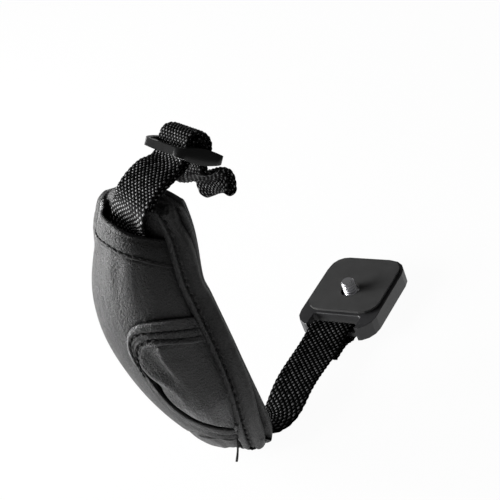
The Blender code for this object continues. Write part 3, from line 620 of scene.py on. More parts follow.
def build_pad():
    stations = loop_of_pad()
    near_end = PAD_END * (1 - cos(linspace(0, pi / 2, 14)))[:-1]
    s = concatenate([near_end, linspace(0.034, 0.966, 210), 1 - near_end[::-1]])
    rings = zeros((len(s), len(stations), 3))
    wear_and_painted_light = zeros(rings.shape[:2])
    painted_shade = zeros(rings.shape[:2])
    # Both ends close with a round edge.
    from_end = clip(minimum(s, 1 - s) / PAD_END, 0, 1)
    squeeze = sqrt(1 - (1 - from_end) ** 2)
    for j, (side, kind, value) in enumerate(stations):
        low_edge, high_edge = (abs(pad_point(array([end]), side, kind, value)[0][0]) for end in (-0.03, 0.9))
        low = -0.002 - 0.058 * step(low_edge, 9.0, 12.5)
        # The roll's end is rounded like a fingertip.
        start, reach = (14.4, 4.0) if kind == "backing" else (13.0, 4.4)
        off = min(1.0, max(0.0, low_edge - start) / reach)
        low += (1 - sqrt(1 - off**2)) * reach / PAD_LENGTH
        high = 0.945 - (0.052 if side > 0 else 0.035) * min(1.0, high_edge / 20.0) ** 4
        t = low + (high - low) * s
        v, n = pad_point(t, side, kind, value)
        n = PAD_CORE + (n - PAD_CORE) * squeeze
        # Painted shade darkens the hide from t 0.2 upwards. The roll's round top, the back roll and the
        # backing are paler, from rubbed wear and painted light. Painted shade goes into the creases, the pinch
        # and the top's edges.
        wear_and_painted_light[:, j] = -0.22 * step(t, 0.20, 0.50)
        if kind == "roll":
            height, pinch_shade_line = roll_folds(t, side, value)
            n = n + height * squeeze
            # Each stitch pulls the groove down a little.
            if value > 120:
                n = n - 0.15 * (0.5 + 0.5 * cos(2 * pi * t * PAD_LENGTH / GROOVE_PITCH)) * (value - 120) / 30
            wear_and_painted_light[:, j] += 0.05 * hill(value - 70, 40) + (0.10 if side < 0 else 0.0)
            painted_shade[:, j] = roll_shade(t, s, side, value, pinch_shade_line)
        elif kind == "backing":
            wear_and_painted_light[:, j] += 0.06
        elif kind == "top":
            painted_shade[:, j] = 0.85 * step(value, 0.90, 0.96) * step(s, 0.045, 0.09)
        rings[:, j] = on_grip(t, v, n)
    uv = stack(meshgrid(path_length(rings[100]), s * PAD_LENGTH), -1)[..., ::-1]
    obj = loft("grip_pad", rings, uv, ROLL_HIDE, {"wear_and_painted_light": wear_and_painted_light, "painted_shade": painted_shade})
    return strap(obj, "grip_leather", "hand_pad")


pad = build_pad()

# Soft lining against the hand
LINING_TOP, LINING_BOTTOM, LINING_CORE, LINING_END = -8.0, -10.35, -9.2, 0.02


def build_lining():
    near_end = LINING_END * (1 - cos(linspace(0, pi / 2, 8)))
    s = concatenate([near_end[:-1], linspace(0.02, 0.98, 120), 1 - near_end[-2::-1]])
    from_end = clip(minimum(s, 1 - s) / LINING_END, 0, 1)
    across, turn = linspace(-1, 1, 41), linspace(90, -90, 9)[1:-1]
    # (share across, kind or angle) round the section, with a tucked line in the middle of both edges
    loop = [(q, "top") for q in across] + [(1.0, angle or "top") for angle in turn]
    loop += [(q, "bottom") for q in across[::-1]] + [(-1.0, angle or "top") for angle in turn[::-1]]
    rings = zeros((len(s), len(loop), 3))
    for j, (q, level) in enumerate(loop):
        edge, side = abs(q), (1.0 if q > 0 else -1.0)
        low = -0.046 + 0.054 * (1 - min(1.0, max(0.0, (edge - 0.49) / 0.35)))
        high = 0.935 - 0.03 * edge**4
        t = low + (high - low) * s
        wide = half(t, side) - BACKING_R
        if level in ("top", "bottom"):
            n = (LINING_TOP if level == "top" else LINING_BOTTOM) + 0 * t
            v = q * wide
        else:
            angle = radians(level)
            n = (LINING_TOP + LINING_BOTTOM) / 2 + (LINING_TOP - LINING_BOTTOM) / 2 * sin(angle) + 0 * t
            v = side * (wide + cos(angle))
        n = LINING_CORE + (n - LINING_CORE) * sqrt(1 - (1 - from_end) ** 2)
        if level == "bottom":
            n = n - 0.25 * bumps(t * 9, q * 3, 2) * step(1 - edge, 0.0, 0.2)
            # Two lengthwise seams hold the padding.
            n = n + 0.7 * hill(edge - 0.52, 0.05) * step(from_end, 0.2, 1.0)
        rings[:, j] = on_grip(t, v, n)
    uv = stack(meshgrid(linspace(0, 90, len(loop)), s * PAD_LENGTH), -1)[..., ::-1]
    return strap(loft("hand_lining", rings, uv, LINING), "lining", "pad_lining")


lining = build_lining()

# The cover, its mouth hem, and the layer under its lower end
COVER_T, HEM_T, POCKET_HEM_T, PANEL_T, STRIP_T = 1.1, 2.0, 1.3, 1.4, 0.8
# t of the mouth's edge, of the hem's stitches and of the cover's foot, at shares across the cover
MOUTH = Spline((0.0, 0.25, 0.5, 0.75, 1.0), (0.875, 0.877, 0.861, 0.828, 0.799))
HEM_LINE = Spline(
    (0.0, 0.06, 0.29, 0.435, 0.56, 0.705, 0.84, 1.0),
    (0.811, 0.810, 0.800, 0.787, 0.774, 0.764, 0.751, 0.733),
)
FOOT = Spline((0.0, 0.25, 0.42, 0.5, 0.67, 0.86, 1.0), (0.105, 0.135, 0.146, 0.134, 0.112, 0.084, 0.053))

# Lines of (t, v) over the pocket panel, and the pocket hem's outer edge
CREST = [(0.452, 0.0), (0.425, -0.9), (0.398, 0.0), (0.370, 1.8), (0.342, 4.0), (0.310, 5.4), (0.278, 5.8)]
FOLD = [(0.480, 8.5), (0.462, 7.9), (0.427, 7.3), (0.400, 7.6), (0.370, 8.0), (0.345, 8.5), (0.325, 9.2)]
VALLEY = [(0.462, 3.6), (0.440, 3.6), (0.415, 4.0), (0.385, 4.7), (0.360, 5.8), (0.338, 6.6)]
SLIT = [
    (0.432, -2.9), (0.405, -2.3), (0.380, -1.5), (0.357, -0.9), (0.338, -1.3), (0.315, -1.4),
    (0.285, -0.7), (0.255, 0.9), (0.220, 2.8), (0.182, 5.9), (0.148, 9.1), (0.113, 12.2),
]
EDGE_POINTS = [
    (0.484, 20.6), (0.510, 16.7), (0.530, 12.4), (0.543, 6.3), (0.536, 2.2), (0.512, -1.1),
    (0.480, -3.2), (0.432, -4.1), (0.383, -4.2), (0.338, -4.4), (0.300, -4.2), (0.236, -2.2),
    (0.163, 3.4), (0.124, 7.0), (0.080, 10.6),
]


def sheet_v(t, b):
    """v at a share b across the cover, from its back edge to its front one."""
    side = where(b > 0.5, 1.0, -1.0)
    return (2 * b - 1) * (cover_edge(t, side) + SHEET_TUCK)


def cover_dents(t, v):
    """Soft creases of the hide over the sleeve."""
    lengthwise = 0.22 * bumps(t * 5.5, v * 0.28, 1) + 0.09 * bumps(t * 9, v * 0.75, 4)
    # Two shallow pulls run down from the hem.
    a = hill(v + 6.0 + 22 * (0.78 - t), 1.6) * step(t, 0.60, 0.74) * (1 - step(t, 0.755, 0.785))
    b = hill(v - 1.5 + 18 * (0.76 - t), 2.0) * step(t, 0.60, 0.72) * (1 - step(t, 0.74, 0.77))
    return lengthwise - 0.35 * a - 0.22 * b


def cover_place(a, b, n, outer):
    low = FOOT.one(b)
    high = HEM_LINE.one(b) + 0.016
    t = low + (high - low) * a
    v = sheet_v(t, b)
    body = outer * cover_dents(t, v) * step(a, 0.0, 0.03)
    # The ridge of the turned-in edge just below the hem's stitches
    line = HEM_LINE.one(b)
    away = (line - t) * PAD_LENGTH
    body = body + outer * (0.60 * hill(away - 1.45, 0.30) - 0.25 * hill(away - 2.2, 0.6))
    tuck = -0.5 * step(abs(2 * b - 1), 0.93, 1.0) * outer
    tuck = tuck + 0.55 * (1 - step(a, 0.0, 0.05)) * step(b, 0.45, 0.62)
    # Painted light: the foot edge is paler as rubbed wear, and the ridge below the hem gets a painted
    # highlight. The right part is darker as painted shade. Painted shade also lies under the hem's edge, along
    # the pocket hem's outer edge and down the slit.
    right = step(t, 0.48, 0.74)
    wear_and_painted_light = 0.15 * hill(a, 0.012) - 0.34 * step(b, 0.28, 0.60) * right + 0.35 * hill(away - 1.35, 0.25)
    painted_shade = 0.40 * hill(away - 0.3, 0.45)
    gap, at, _ = near(EDGE_POINTS, t, v)
    painted_shade = maximum(painted_shade, 0.95 * hill(gap, 1.0) * (1 - 0.75 * step(at, 0.25, 0.5)))
    painted_shade = maximum(painted_shade, 0.20 * step(b, 0.30, 0.60) * right)
    gap, _, _ = near(SLIT, t, v)
    painted_shade = maximum(painted_shade, exp(-((gap / 1.9) ** 4)))
    body = body - outer * 0.5 * hill(gap, 1.6)
    return on_grip(t, v, crown(t, v) + n + body + tuck), {"wear_and_painted_light": wear_and_painted_light * outer, "painted_shade": painted_shade * outer}


down = concatenate([linspace(0, 0.92, 200), linspace(0.92, 1, 60)[1:]])
layer("grip_cover", ["cover"], cover_place, down, 140, COVER_T, HIDE, (96.0, 62.0))

FOOT_LINE = [(0.108, -3.0), (0.090, 2.9), (0.076, 5.2), (0.061, 7.1), (0.046, 8.8), (0.034, 10.2)]


def under_cover_place(a, b, n, outer):
    low = -0.004 + 0.012 * abs(2 * b - 1) ** 4
    t = low + (0.19 - low) * a
    v = (2 * b - 1) * (cover_edge(t, where(b > 0.5, 1.0, -1.0)) - 0.1)
    fold = 0.20 * bumps(t * 22, v * 0.22, 15)
    # Painted shade where the cover's foot overhangs and along the foot line's groove. The edges are a little
    # paler from the wear-and-light fact.
    foot = (FOOT.one(b) - t) * PAD_LENGTH
    painted_shade = 1 - step(foot, 1.3, 1.9)
    wear_and_painted_light = 0.04 * outer + 0.06 * outer * hill(a, 0.05)
    sunk = -1.35 + 0.85 * (1 - step(b, 0.46, 0.66))
    gap, _, _ = near(FOOT_LINE, t, v)
    line = hill(gap, 0.85)
    painted_shade = maximum(painted_shade, line)
    sunk = sunk - outer * (0.95 * line - 0.35 * hill(gap - 1.1, 0.8))
    painted_shade = clip(painted_shade, 0, 1) * outer
    return on_grip(t, v, crown(t, v) + sunk + n + outer * fold), {"wear_and_painted_light": wear_and_painted_light, "painted_shade": painted_shade}


layer("sleeve_backing", [], under_cover_place, 60, 110, COVER_T, HEM_HIDE, (25.0, 50.0))


def hem_place(a, b, n, outer):
    low = HEM_LINE.one(b) - 0.006
    high = MOUTH.one(b)
    t = low + (high - low) * a
    v = sheet_v(t, b)
    away = (t - HEM_LINE.one(b)) * PAD_LENGTH
    body = 0.75 - 0.40 * step(a, 0.75, 1.0) + 0.30 * sin(pi * clip((away - 1.0) / 6.5, 0, 1))
    body = body - outer * 0.42 * hill(away, 0.42) + 0.12 * bumps(t * 40, v * 0.3, 6) * outer
    # The outer top edge gets a painted highlight, stronger at the left. The left is painted lighter and the
    # right painted darker, with painted shade along the stitch line and over the right part.
    left = 1 - step(b, 0.10, 0.42)
    wear_and_painted_light = outer * ((0.25 + 0.5 * left) * hill(a - 0.93, 0.10) + 0.10 * left - 0.30 * (1 - left))
    tuck = -0.7 * step(abs(2 * b - 1), 0.93, 1.0)
    painted_shade = maximum(0.15 * hill(away, 0.30), 0.42 * step(b, 0.28, 0.60)) * outer
    return on_grip(t, v, crown(t, v) + n + body + tuck), {"wear_and_painted_light": wear_and_painted_light, "painted_shade": painted_shade}


layer("mouth_band", ["mouth_hem"], hem_place, 52, 130, HEM_T, MOUTH_HIDE, (10.0, 60.0))


# Welts
def welt(name, side, node, low, high):
    t = linspace(low, high, 190)
    wide = welt_wide(t, side)
    middle = seam(t, side) - 0.12 - wide / 2
    angles = linspace(0, 2 * pi, 29)[:-1]
    rings = zeros((len(t), len(angles), 3))
    wear_and_painted_light = zeros(rings.shape[:2])
    ends = clip(minimum(t - low, high - t) * PAD_LENGTH / 1.6, 0, 1)
    ends = sqrt(1 - (1 - ends) ** 2) * 0.97 + 0.03
    stitch = 0.16 * (0.5 + 0.5 * cos(2 * pi * t * PAD_LENGTH / GROOVE_PITCH))
    # The upper face is paler: rubbed wear with a painted highlight, much stronger on the back piping and more
    # so near its top.
    rubbed_and_lit_top = 0.10 if side > 0 else 0.5 + 0.8 * step(t, 0.76, 0.82)
    for j, angle in enumerate(angles):
        c, s = cos(angle), sin(angle)
        x = sign(c) * abs(c) ** 0.55
        y = sign(s) * abs(s) ** 0.6
        pull = stitch * max(0.0, x) * (s > 0)
        n = WELT_N + WELT_R * y * ends - pull + 0.10 * bumps(t * 45, c, 7) * (s > 0)
        rings[:, j] = on_grip(t, side * (middle + x * wide / 2 * ends), n)
        wear_and_painted_light[:, j] = rubbed_and_lit_top * max(0.0, s) ** 3
    uv = stack(meshgrid(linspace(0, 8, len(angles)), t * PAD_LENGTH), -1)[..., ::-1]
    return strap(loft(name, rings, uv, HEM_HIDE, {"wear_and_painted_light": wear_and_painted_light}), "grip_leather", node)


welt("front_piping", 1, "front_welt", -0.026, 0.915)
welt("back_piping", -1, "back_welt", 0.0, 0.905)

# Pocket hem: curves of (t, v) for its outer edge, its two stitch lines and its inner edge
STITCH_1_AT, STITCH_2_AT = 0.5, 0.86
HEM_P = (0.0, 0.15, 0.30, 0.47, 0.57, 0.65, 0.74, 0.86, 1.0, 1.15, 1.30, 1.50, 1.70, 1.85, 2.0)
EDGE = Spline(HEM_P, EDGE_POINTS)
STITCH_1 = Spline(HEM_P, [
    (0.449, 20.6), (0.471, 16.8), (0.492, 12.9), (0.513, 6.8), (0.517, 2.9), (0.503, -0.1),
    (0.476, -1.9), (0.436, -3.1), (0.388, -3.6), (0.341, -3.9), (0.303, -3.7), (0.239, -1.7),
    (0.166, 3.9), (0.127, 7.4), (0.084, 10.8),
])
STITCH_2 = Spline(HEM_P, [
    (0.419, 20.6), (0.440, 17.1), (0.461, 13.5), (0.487, 8.0), (0.492, 4.6), (0.483, 1.7),
    (0.463, -0.5), (0.430, -2.3), (0.391, -3.2), (0.343, -3.4), (0.306, -3.2), (0.242, -1.2),
    (0.169, 4.4), (0.131, 7.8), (0.088, 11.0),
])
INNER = Spline(HEM_P, [
    (0.407, 20.6), (0.426, 17.4), (0.448, 13.9), (0.475, 8.2), (0.480, 5.0), (0.472, 2.4),
    (0.454, 0.5), (0.424, -1.7), (0.394, -2.9), (0.346, -3.0), (0.309, -2.8), (0.245, -0.7),
    (0.172, 4.9), (0.135, 8.2), (0.092, 11.2),
])


def hem_spot(p, w):
    """(t, v) at w across the hem: 0 its outer edge, 0.5 and 0.86 its stitch lines, 1 its inner edge."""
    edge, one, two, inner = (curve.at(p) for curve in (EDGE, STITCH_1, STITCH_2, INNER))
    w = w[..., None]
    first = edge + (one - edge) * clip(w / STITCH_1_AT, -1, 1)
    second = (two - one) * clip((w - STITCH_1_AT) / (STITCH_2_AT - STITCH_1_AT), 0, 1)
    spot = first + second + (inner - two) * clip((w - STITCH_2_AT) / (1 - STITCH_2_AT), 0, 2)
    return spot[..., 0], spot[..., 1]


def hem_size(p):
    """Distances in millimetres from the outer edge to each stitch line and to the inner edge."""
    curves = stack([curve.at(p) * IN_MM for curve in (EDGE, STITCH_1, STITCH_2, INNER)])
    return np.cumsum(np.linalg.norm(np.diff(curves, axis=0), axis=-1), axis=0)


def pocket_hem_place(a, b, n, outer):
    p = b * 2.0
    t, v = hem_spot(p, a)
    one, two, whole = hem_size(p)
    second = one + (a - STITCH_1_AT) / (STITCH_2_AT - STITCH_1_AT) * (two - one)
    third = two + (a - STITCH_2_AT) / (1 - STITCH_2_AT) * (whole - two)
    mm = where(a < STITCH_1_AT, a / STITCH_1_AT * one, where(a < STITCH_2_AT, second, third))
    band = step(p, -1, 0.0) * (1 - step(p, 0.80, 1.05))
    height = 1.75 - 0.75 * step(p, 0.75, 1.15)
    pillow = 0.28 * abs(sin(pi * mm / maximum(one, 0.5))) * band
    groove = hill(mm - one, 0.40) + hill(mm - two, 0.40)
    lump = 0.10 * bumps(p * 24, mm * 0.5, 8)
    tuck = -0.5 * (1 - step(p, 0.0, 0.05))
    lift = height + outer * (pillow - 0.50 * groove * band + lump) + tuck
    # A painted highlight runs along the outer edge, strongest at the left, with a little on the inner edge.
    # The stitch grooves get painted shade.
    left = step(p, 0.22, 0.42) * (1 - 0.6 * step(p, 0.9, 1.1))
    wear_and_painted_light = outer * ((0.15 + left) * hill(mm - 0.1, 0.60) + 0.10 * hill(mm - whole, 0.6))
    painted_shade = 0.30 * outer * band * minimum(groove, 1.0) ** 2
    return on_grip(t, v, crown(t, v) + lift + n), {"wear_and_painted_light": wear_and_painted_light, "painted_shade": painted_shade}


layer("pocket_band", ["pocket_hem"], pocket_hem_place, 64, 300, POCKET_HEM_T, HEM_HIDE, (8.0, 120.0), 10)

SLIT_LINE = Spline(linspace(0, 1, len(SLIT)), SLIT)
PANEL_TOP, PANEL_FOOT_T, PANEL_SPAN = array((0.409, 20.6)), 0.100, 41.0


def panel_spot(a, b):
    """(t, v) at a down the panel and b from its free edge to the front welt."""
    way = unit(SLIT_LINE.slope(a) * IN_MM)
    off = 0.5 + 1.15 * step(a, 0.16, 0.36) - 0.1 * step(a, 0.6, 1.0)
    left = SLIT_LINE.at(a) + stack([way[..., 1] / PAD_LENGTH, -way[..., 0]], -1) * off[..., None]
    right_t = PANEL_TOP[0] + (PANEL_FOOT_T - PANEL_TOP[0]) * a
    right = stack([right_t, cover_edge(right_t, 1.0) + 0.5], -1)
    spot = left * (1 - b)[..., None] + right * b[..., None]
    p = 0.90 * (1 - b)
    top = INNER.at(p) + array((0.008, 0.0))
    straight = SLIT_LINE.at(0 * a) * (1 - b)[..., None] + PANEL_TOP * b[..., None]
    fade = (1 - step(a, 0.0, 0.45))[..., None]
    spot = spot + (top - straight) * fade
    return spot[..., 0], spot[..., 1]


def panel_place(a, b, n, outer):
    """a runs from the free edge to the front welt here, and b down the panel."""
    t, v = panel_spot(clip(b, 0, 1), a)
    inside = clip(a, 0, 1)
    body = sin(pi * clip(0.10 + 0.90 * inside, 0, 1)) ** 0.55
    height = 1.15 + 2.1 * body * sin(pi * clip(0.10 + 0.86 * b, 0, 1)) ** 0.5
    top = clip(b, 0, 1) * PANEL_SPAN
    crest, c_at, c_side = near(CREST, t, v)
    fold, f_at, f_side = near(FOLD, t, v)
    valley, v_at, _ = near(VALLEY, t, v)
    fade = sin(pi * clip(0.12 + 0.88 * c_at, 0, 1)) ** 0.6
    height = height + 0.9 * fade * hill(crest, 1.7)
    # Beyond the crest the hide drops towards the slit.
    height = height - where(c_side > 0, 0.9 * fade * (1 - hill(crest, 1.6)), 0.0)
    ridge = where(f_side < 0, hill(fold, 4.0), hill(fold, 0.8))
    ridge = ridge * step(top, 0.9, 3.2)
    height = height + 0.95 * ridge * (1 - step(f_at, 0.55, 1.0))
    height = height - hill(valley, 2.0) * sin(pi * clip(0.25 + 0.75 * v_at, 0, 1))
    creases = 0.16 * bumps(t * 14 + v * 0.10, v * 0.50, 9) + 0.07 * bumps(t * 34 + v * 0.2, v * 1.1, 10)
    height = height + outer * creases * step(inside, 0.0, 0.1)
    # The turned edge under the hem's second stitch line shows as a thin ridge.
    height = height + outer * 0.42 * hill(top - 1.2, 0.38) * step(inside, 0.25, 0.5)
    height = height - 0.35 * (1 - step(top, 0.0, 0.8))
    tuck = -0.8 * step(inside, 0.955, 1.0)
    # Painted light: the lower panel, the crest, the fold's ridge and the turned edge are painted paler as
    # highlights. The panel's top under the hem and the valley get painted shade.
    wear_and_painted_light = 0.14 + 0.40 * step(b, 0.35, 0.85) + 0.30 * hill(crest, 0.7) * fade
    wear_and_painted_light = wear_and_painted_light + 0.30 * ridge * hill(fold, 0.5) * (1 - step(f_at, 0.5, 0.95))
    wear_and_painted_light = wear_and_painted_light + 0.45 * hill(top - 1.2, 0.35) * step(inside, 0.2, 0.4)
    painted_shade = 0.5 * (1 - step(top, 0.1, 0.6)) + 0.35 * hill(valley, 0.9) * (1 - step(v_at, 0.6, 1.0))
    return on_grip(t, v, crown(t, v) + height + tuck + n), {"wear_and_painted_light": wear_and_painted_light * outer, "painted_shade": painted_shade * outer}


down = concatenate([linspace(0, 0.09, 26), linspace(0.09, 1, 136)[1:]])
layer("pocket_flap", ["pocket_panel"], panel_place, 120, down, PANEL_T, PANEL_HIDE, (24.0, 44.0), 20)


# Stitch lines
THREAD_END_LONG, THREAD_END_R = 9.6, 0.46


def seam_strip(name, side, low, high):
    """The hide turned in between the welt and the roll, under the seam's stitches."""

    def place(a, b, n, outer):
        t = low + (high - low) * b
        v = seam(t, side) - 0.5 + 1.7 * a
        dip = 0.22 * cos(2 * pi * t * PAD_LENGTH / SEAM_PITCH) * outer
        height = 1.05 + n - dip - 0.9 * (a - 0.42) ** 2
        # A little painted shade down in the seam, with a slight paler tone from the wear-and-light fact.
        return on_grip(t, side * v, height), {"wear_and_painted_light": 0.10 * outer, "painted_shade": 0.15 * outer}

    layer(name, [], place, 8, 260, STRIP_T, HEM_HIDE, (1.7, 120.0), 6)


seam_strip("front_seam_strip", 1, -0.030, 0.888)
seam_strip("back_seam_strip", -1, 0.010, 0.885)
for name, side, low, high in (("front_seam_thread", 1, 0.008, 0.89), ("back_seam_thread", -1, 0.014, 0.885)):
    t = linspace(low, high, 240)
    thread(name, t, side * (seam(t, side) + 0.22), 1.18, SEAM_PITCH, 2.1, 0.90)
q = linspace(0.03, 0.985, 200)
t = HEM_LINE.one(q)
v = sheet_v(t, q)
thread("mouth_thread", t, v, crown(t, v) + 0.85, 2.9, 1.8, 0.80)
for name, w, stop in (("pocket_thread_1", STITCH_1_AT, 1.02), ("pocket_thread_2", STITCH_2_AT, 0.93)):
    p = linspace(0.03, stop, 300)
    t, v = hem_spot(p, w + 0 * p)
    thread(name, t, v, crown(t, v) + 1.80, 2.9, 1.9, 0.84)


def thread_end():
    """A trimmed end of the seam's thread, hanging from the foot of the front piping."""
    start = on_grip(0.072, 9.9, 3.6)
    fall = array((-0.50, -0.36, -0.79))
    side = unit(cross(fall, array((0.3, 0.8, -0.5))))
    other = cross(side, fall)
    share = linspace(0, 1, 24)[:, None]
    turn = 2 * pi * np.arange(8)[:, None] / 8
    sway = side * (0.35 * sin(3.5 * share) - 0.2 * share) + other * 0.2 * share
    centre = start + fall * THREAD_END_LONG * share + sway
    ring = side * cos(turn) + other * sin(turn)
    rings = centre[:, None] + ring * (THREAD_END_R + 0.05 * sin(9 * share))[:, None]
    strap(loft("thread_end", rings, rings[..., :2], THREAD), "grip_leather")


thread_end()

# Web: the same line as its solid
WEB_HALF, WEB_T, WEB_RIB, LUG_GATHER = 9.75, 1.4, 0.14, 0.22
CAMERA_EDGE = array((-54.0, -31.0, -2.7))
BUCKLE_AT = array((-52.4, -21.7, 117.0))
LUG_AT = array((-44.6, -19.8, 92.2))
BAR_WAY = unit(array((0.115, -0.99, 0.06)))
RAIL_WAY = array((0.75, 0.0, -0.66))
RAIL_WAY = unit(RAIL_WAY - BAR_WAY * RAIL_WAY.dot(BAR_WAY))
BUCKLE_UP = cross(BAR_WAY, RAIL_WAY)
PLATE_L, PLATE_T, RUBBER_T, BAR_D = 46.0, 7.2, 1.4, 2.6
PLATE_WAY = unit(array((CAMERA_EDGE[0], CAMERA_EDGE[1], 0.0)))
PLATE_SIDE = array((-PLATE_WAY[1], PLATE_WAY[0], 0.0))
BAR_AT = PLATE_L / 2 - BAR_D / 2 - 0.4
BAR_Z = -RUBBER_T - PLATE_T / 2
OUTER_LOOP = (
    (-6.0, -3.0), (-5.0, 0.2), (-5.5, 3.4), (-4.7, 6.6), (-1.2, 8.4), (2.8, 7.3), (5.1, 4.0), (5.0, 0.2),
)
INNER_LOOP = (
    (2.75, -0.6), (3.15, 2.5), (2.1, 4.8), (-0.4, 5.6), (-2.5, 4.2), (-3.0, 1.8), (-2.75, -0.8), (-2.9, -3.8),
)
# (t, v, extra height) inside the sleeve, and place with width direction between the sleeve and the buckle
SLEEVE_STOPS = (
    (0.03, 0, 0), (0.12, 0, 0), (0.24, 0, 0), (0.36, -0.3, 0),
    (0.48, -0.6, 0), (0.60, -0.6, 1.2), (0.70, 0, 4.0),
)
UPPER_STOPS = (
    (-84.8, -24.2, 103.9, 0.12, -0.96, -0.24),
    (-81.6, -26.4, 111.6, 0.04, -0.98, -0.24),
    (-75.8, -26.0, 115.9, 0.05, -0.98, -0.20),
    (-69.0, -25.0, 118.0, 0.06, -0.98, -0.14),
    (-62.4, -23.4, 118.2, 0.08, -0.98, -0.06),
)
LUG_STOPS = (
    (0.4, -0.3, 7.4), (1.5, 0.2, 2.4), (0.7, 0.4, 0.1), (-0.9, 0.4, -0.3), (-2.1, 0.1, 1.6), (-2.6, -0.4, 7.2),
)


def on_buckle(b, r, n):
    return BUCKLE_AT + BAR_WAY * b + RAIL_WAY * r + BUCKLE_UP * n


def on_plate(s, z):
    return PLATE_WAY * s + array((0.0, 0.0, z))


def web_route():
    """(place, width direction) along the web's middle line, from the plate's bar to its tail under the web."""
    radius = BAR_D * 0.71 + WEB_T / 2 + WEB_RIB + 0.3
    side = PLATE_SIDE
    low_across = axes(0.0)[1]
    loop = [(s, BAR_Z + z) for s, z in ((17, -0.2), (11, -0.2), (5.5, -1.1))]
    loop += [(radius * cos(a), BAR_Z + radius * sin(a)) for a in radians(range(270, 60, -30))]
    loop += [(6, BAR_Z + radius - 0.2), (16, BAR_Z + radius - 0.5)]
    stops = [(on_plate(BAR_AT + s, z), side) for s, z in loop]
    # Round the camera's lower edge and up into the sleeve
    under = CAMERA_EDGE + (PAD_FOOT - CAMERA_EDGE) * 0.44 + array((0, -3.8, -3.0))
    stops.append((CAMERA_EDGE, side + array((0, 0, 0.10))))
    stops.append((under, side * 0.6 + low_across * 0.4 + array((0, 0, 0.16))))
    stops += [(on_grip(t, 0.0, n), low_across) for t, n in ((-0.056, -6.0), (-0.054, -1.0), (-0.026, 0.8))]
    for t, v, rise in SLEEVE_STOPS:
        stops.append((on_grip(t, v, rise + 0.80 + 0.90 * step(t, 0.05, 0.3)), axes(t)[1]))
    stops.append((on_grip(0.775, 0.3, 7.2), array((0.20, -0.96, -0.20))))
    # Out to the buckle, down round the lug, and back through the buckle
    upper = [(array(stop[:3]), array(stop[3:])) for stop in UPPER_STOPS]
    stops += upper
    stops += [(on_buckle(0, r, n), BAR_WAY) for r, n in OUTER_LOOP]
    lug_way = unit(array((0.30, -0.86, 0.40)))
    between = (BAR_WAY + lug_way) / 2
    stops += [(on_buckle(0.0, 5.2, -3.6), BAR_WAY), (on_buckle(0.3, 5.9, -6.6), between)]
    stops += [(LUG_AT + array(offset), lug_way) for offset in LUG_STOPS]
    stops += [(on_buckle(0.3, 3.5, -7.0), between), (on_buckle(0.0, 2.9, -3.8), BAR_WAY)]
    stops += [(on_buckle(0, r, n), BAR_WAY) for r, n in INNER_LOOP]
    # The tail lies under the web.
    for (place, way), (before, _) in zip(upper[:1:-1], upper[2::-1]):
        stops.append((place - unit(cross(way, unit(place - before))) * 2.3, way))
    place, way = upper[1]
    stops.append((place + array((2.6, 0.0, -1.6)), way))
    return stops


STOPS = web_route()
PLACES = array([place for place, _ in STOPS])
KNOTS = path_length(PLACES)
WEB_PLACE = Spline(KNOTS, PLACES)
WEB_WAY = Spline(KNOTS, [unit(way) for _, way in STOPS])
WEB_LENGTH = KNOTS[-1]


def web_near(point):
    """How far along the web a point lies."""
    s = np.arange(0.0, WEB_LENGTH, 0.5)
    return float(s[np.linalg.norm(WEB_PLACE.at(s) - point, axis=1).argmin()])


LOW_TURN = web_near(on_grip(-0.02, 0.0, 0.8))
MOUTH_S = web_near(on_grip(0.70, -2.2, 1.7))
LUG_S = web_near(LUG_AT)


def yarn(swell, lift, crown_height, sharp, x):
    """Height of a yarn's round back at x across it, sinking to nothing between yarns."""
    return swell + lift + crown_height * (sqrt(clip(1 - (sharp * x) ** 2, 0, 1)) - 1)


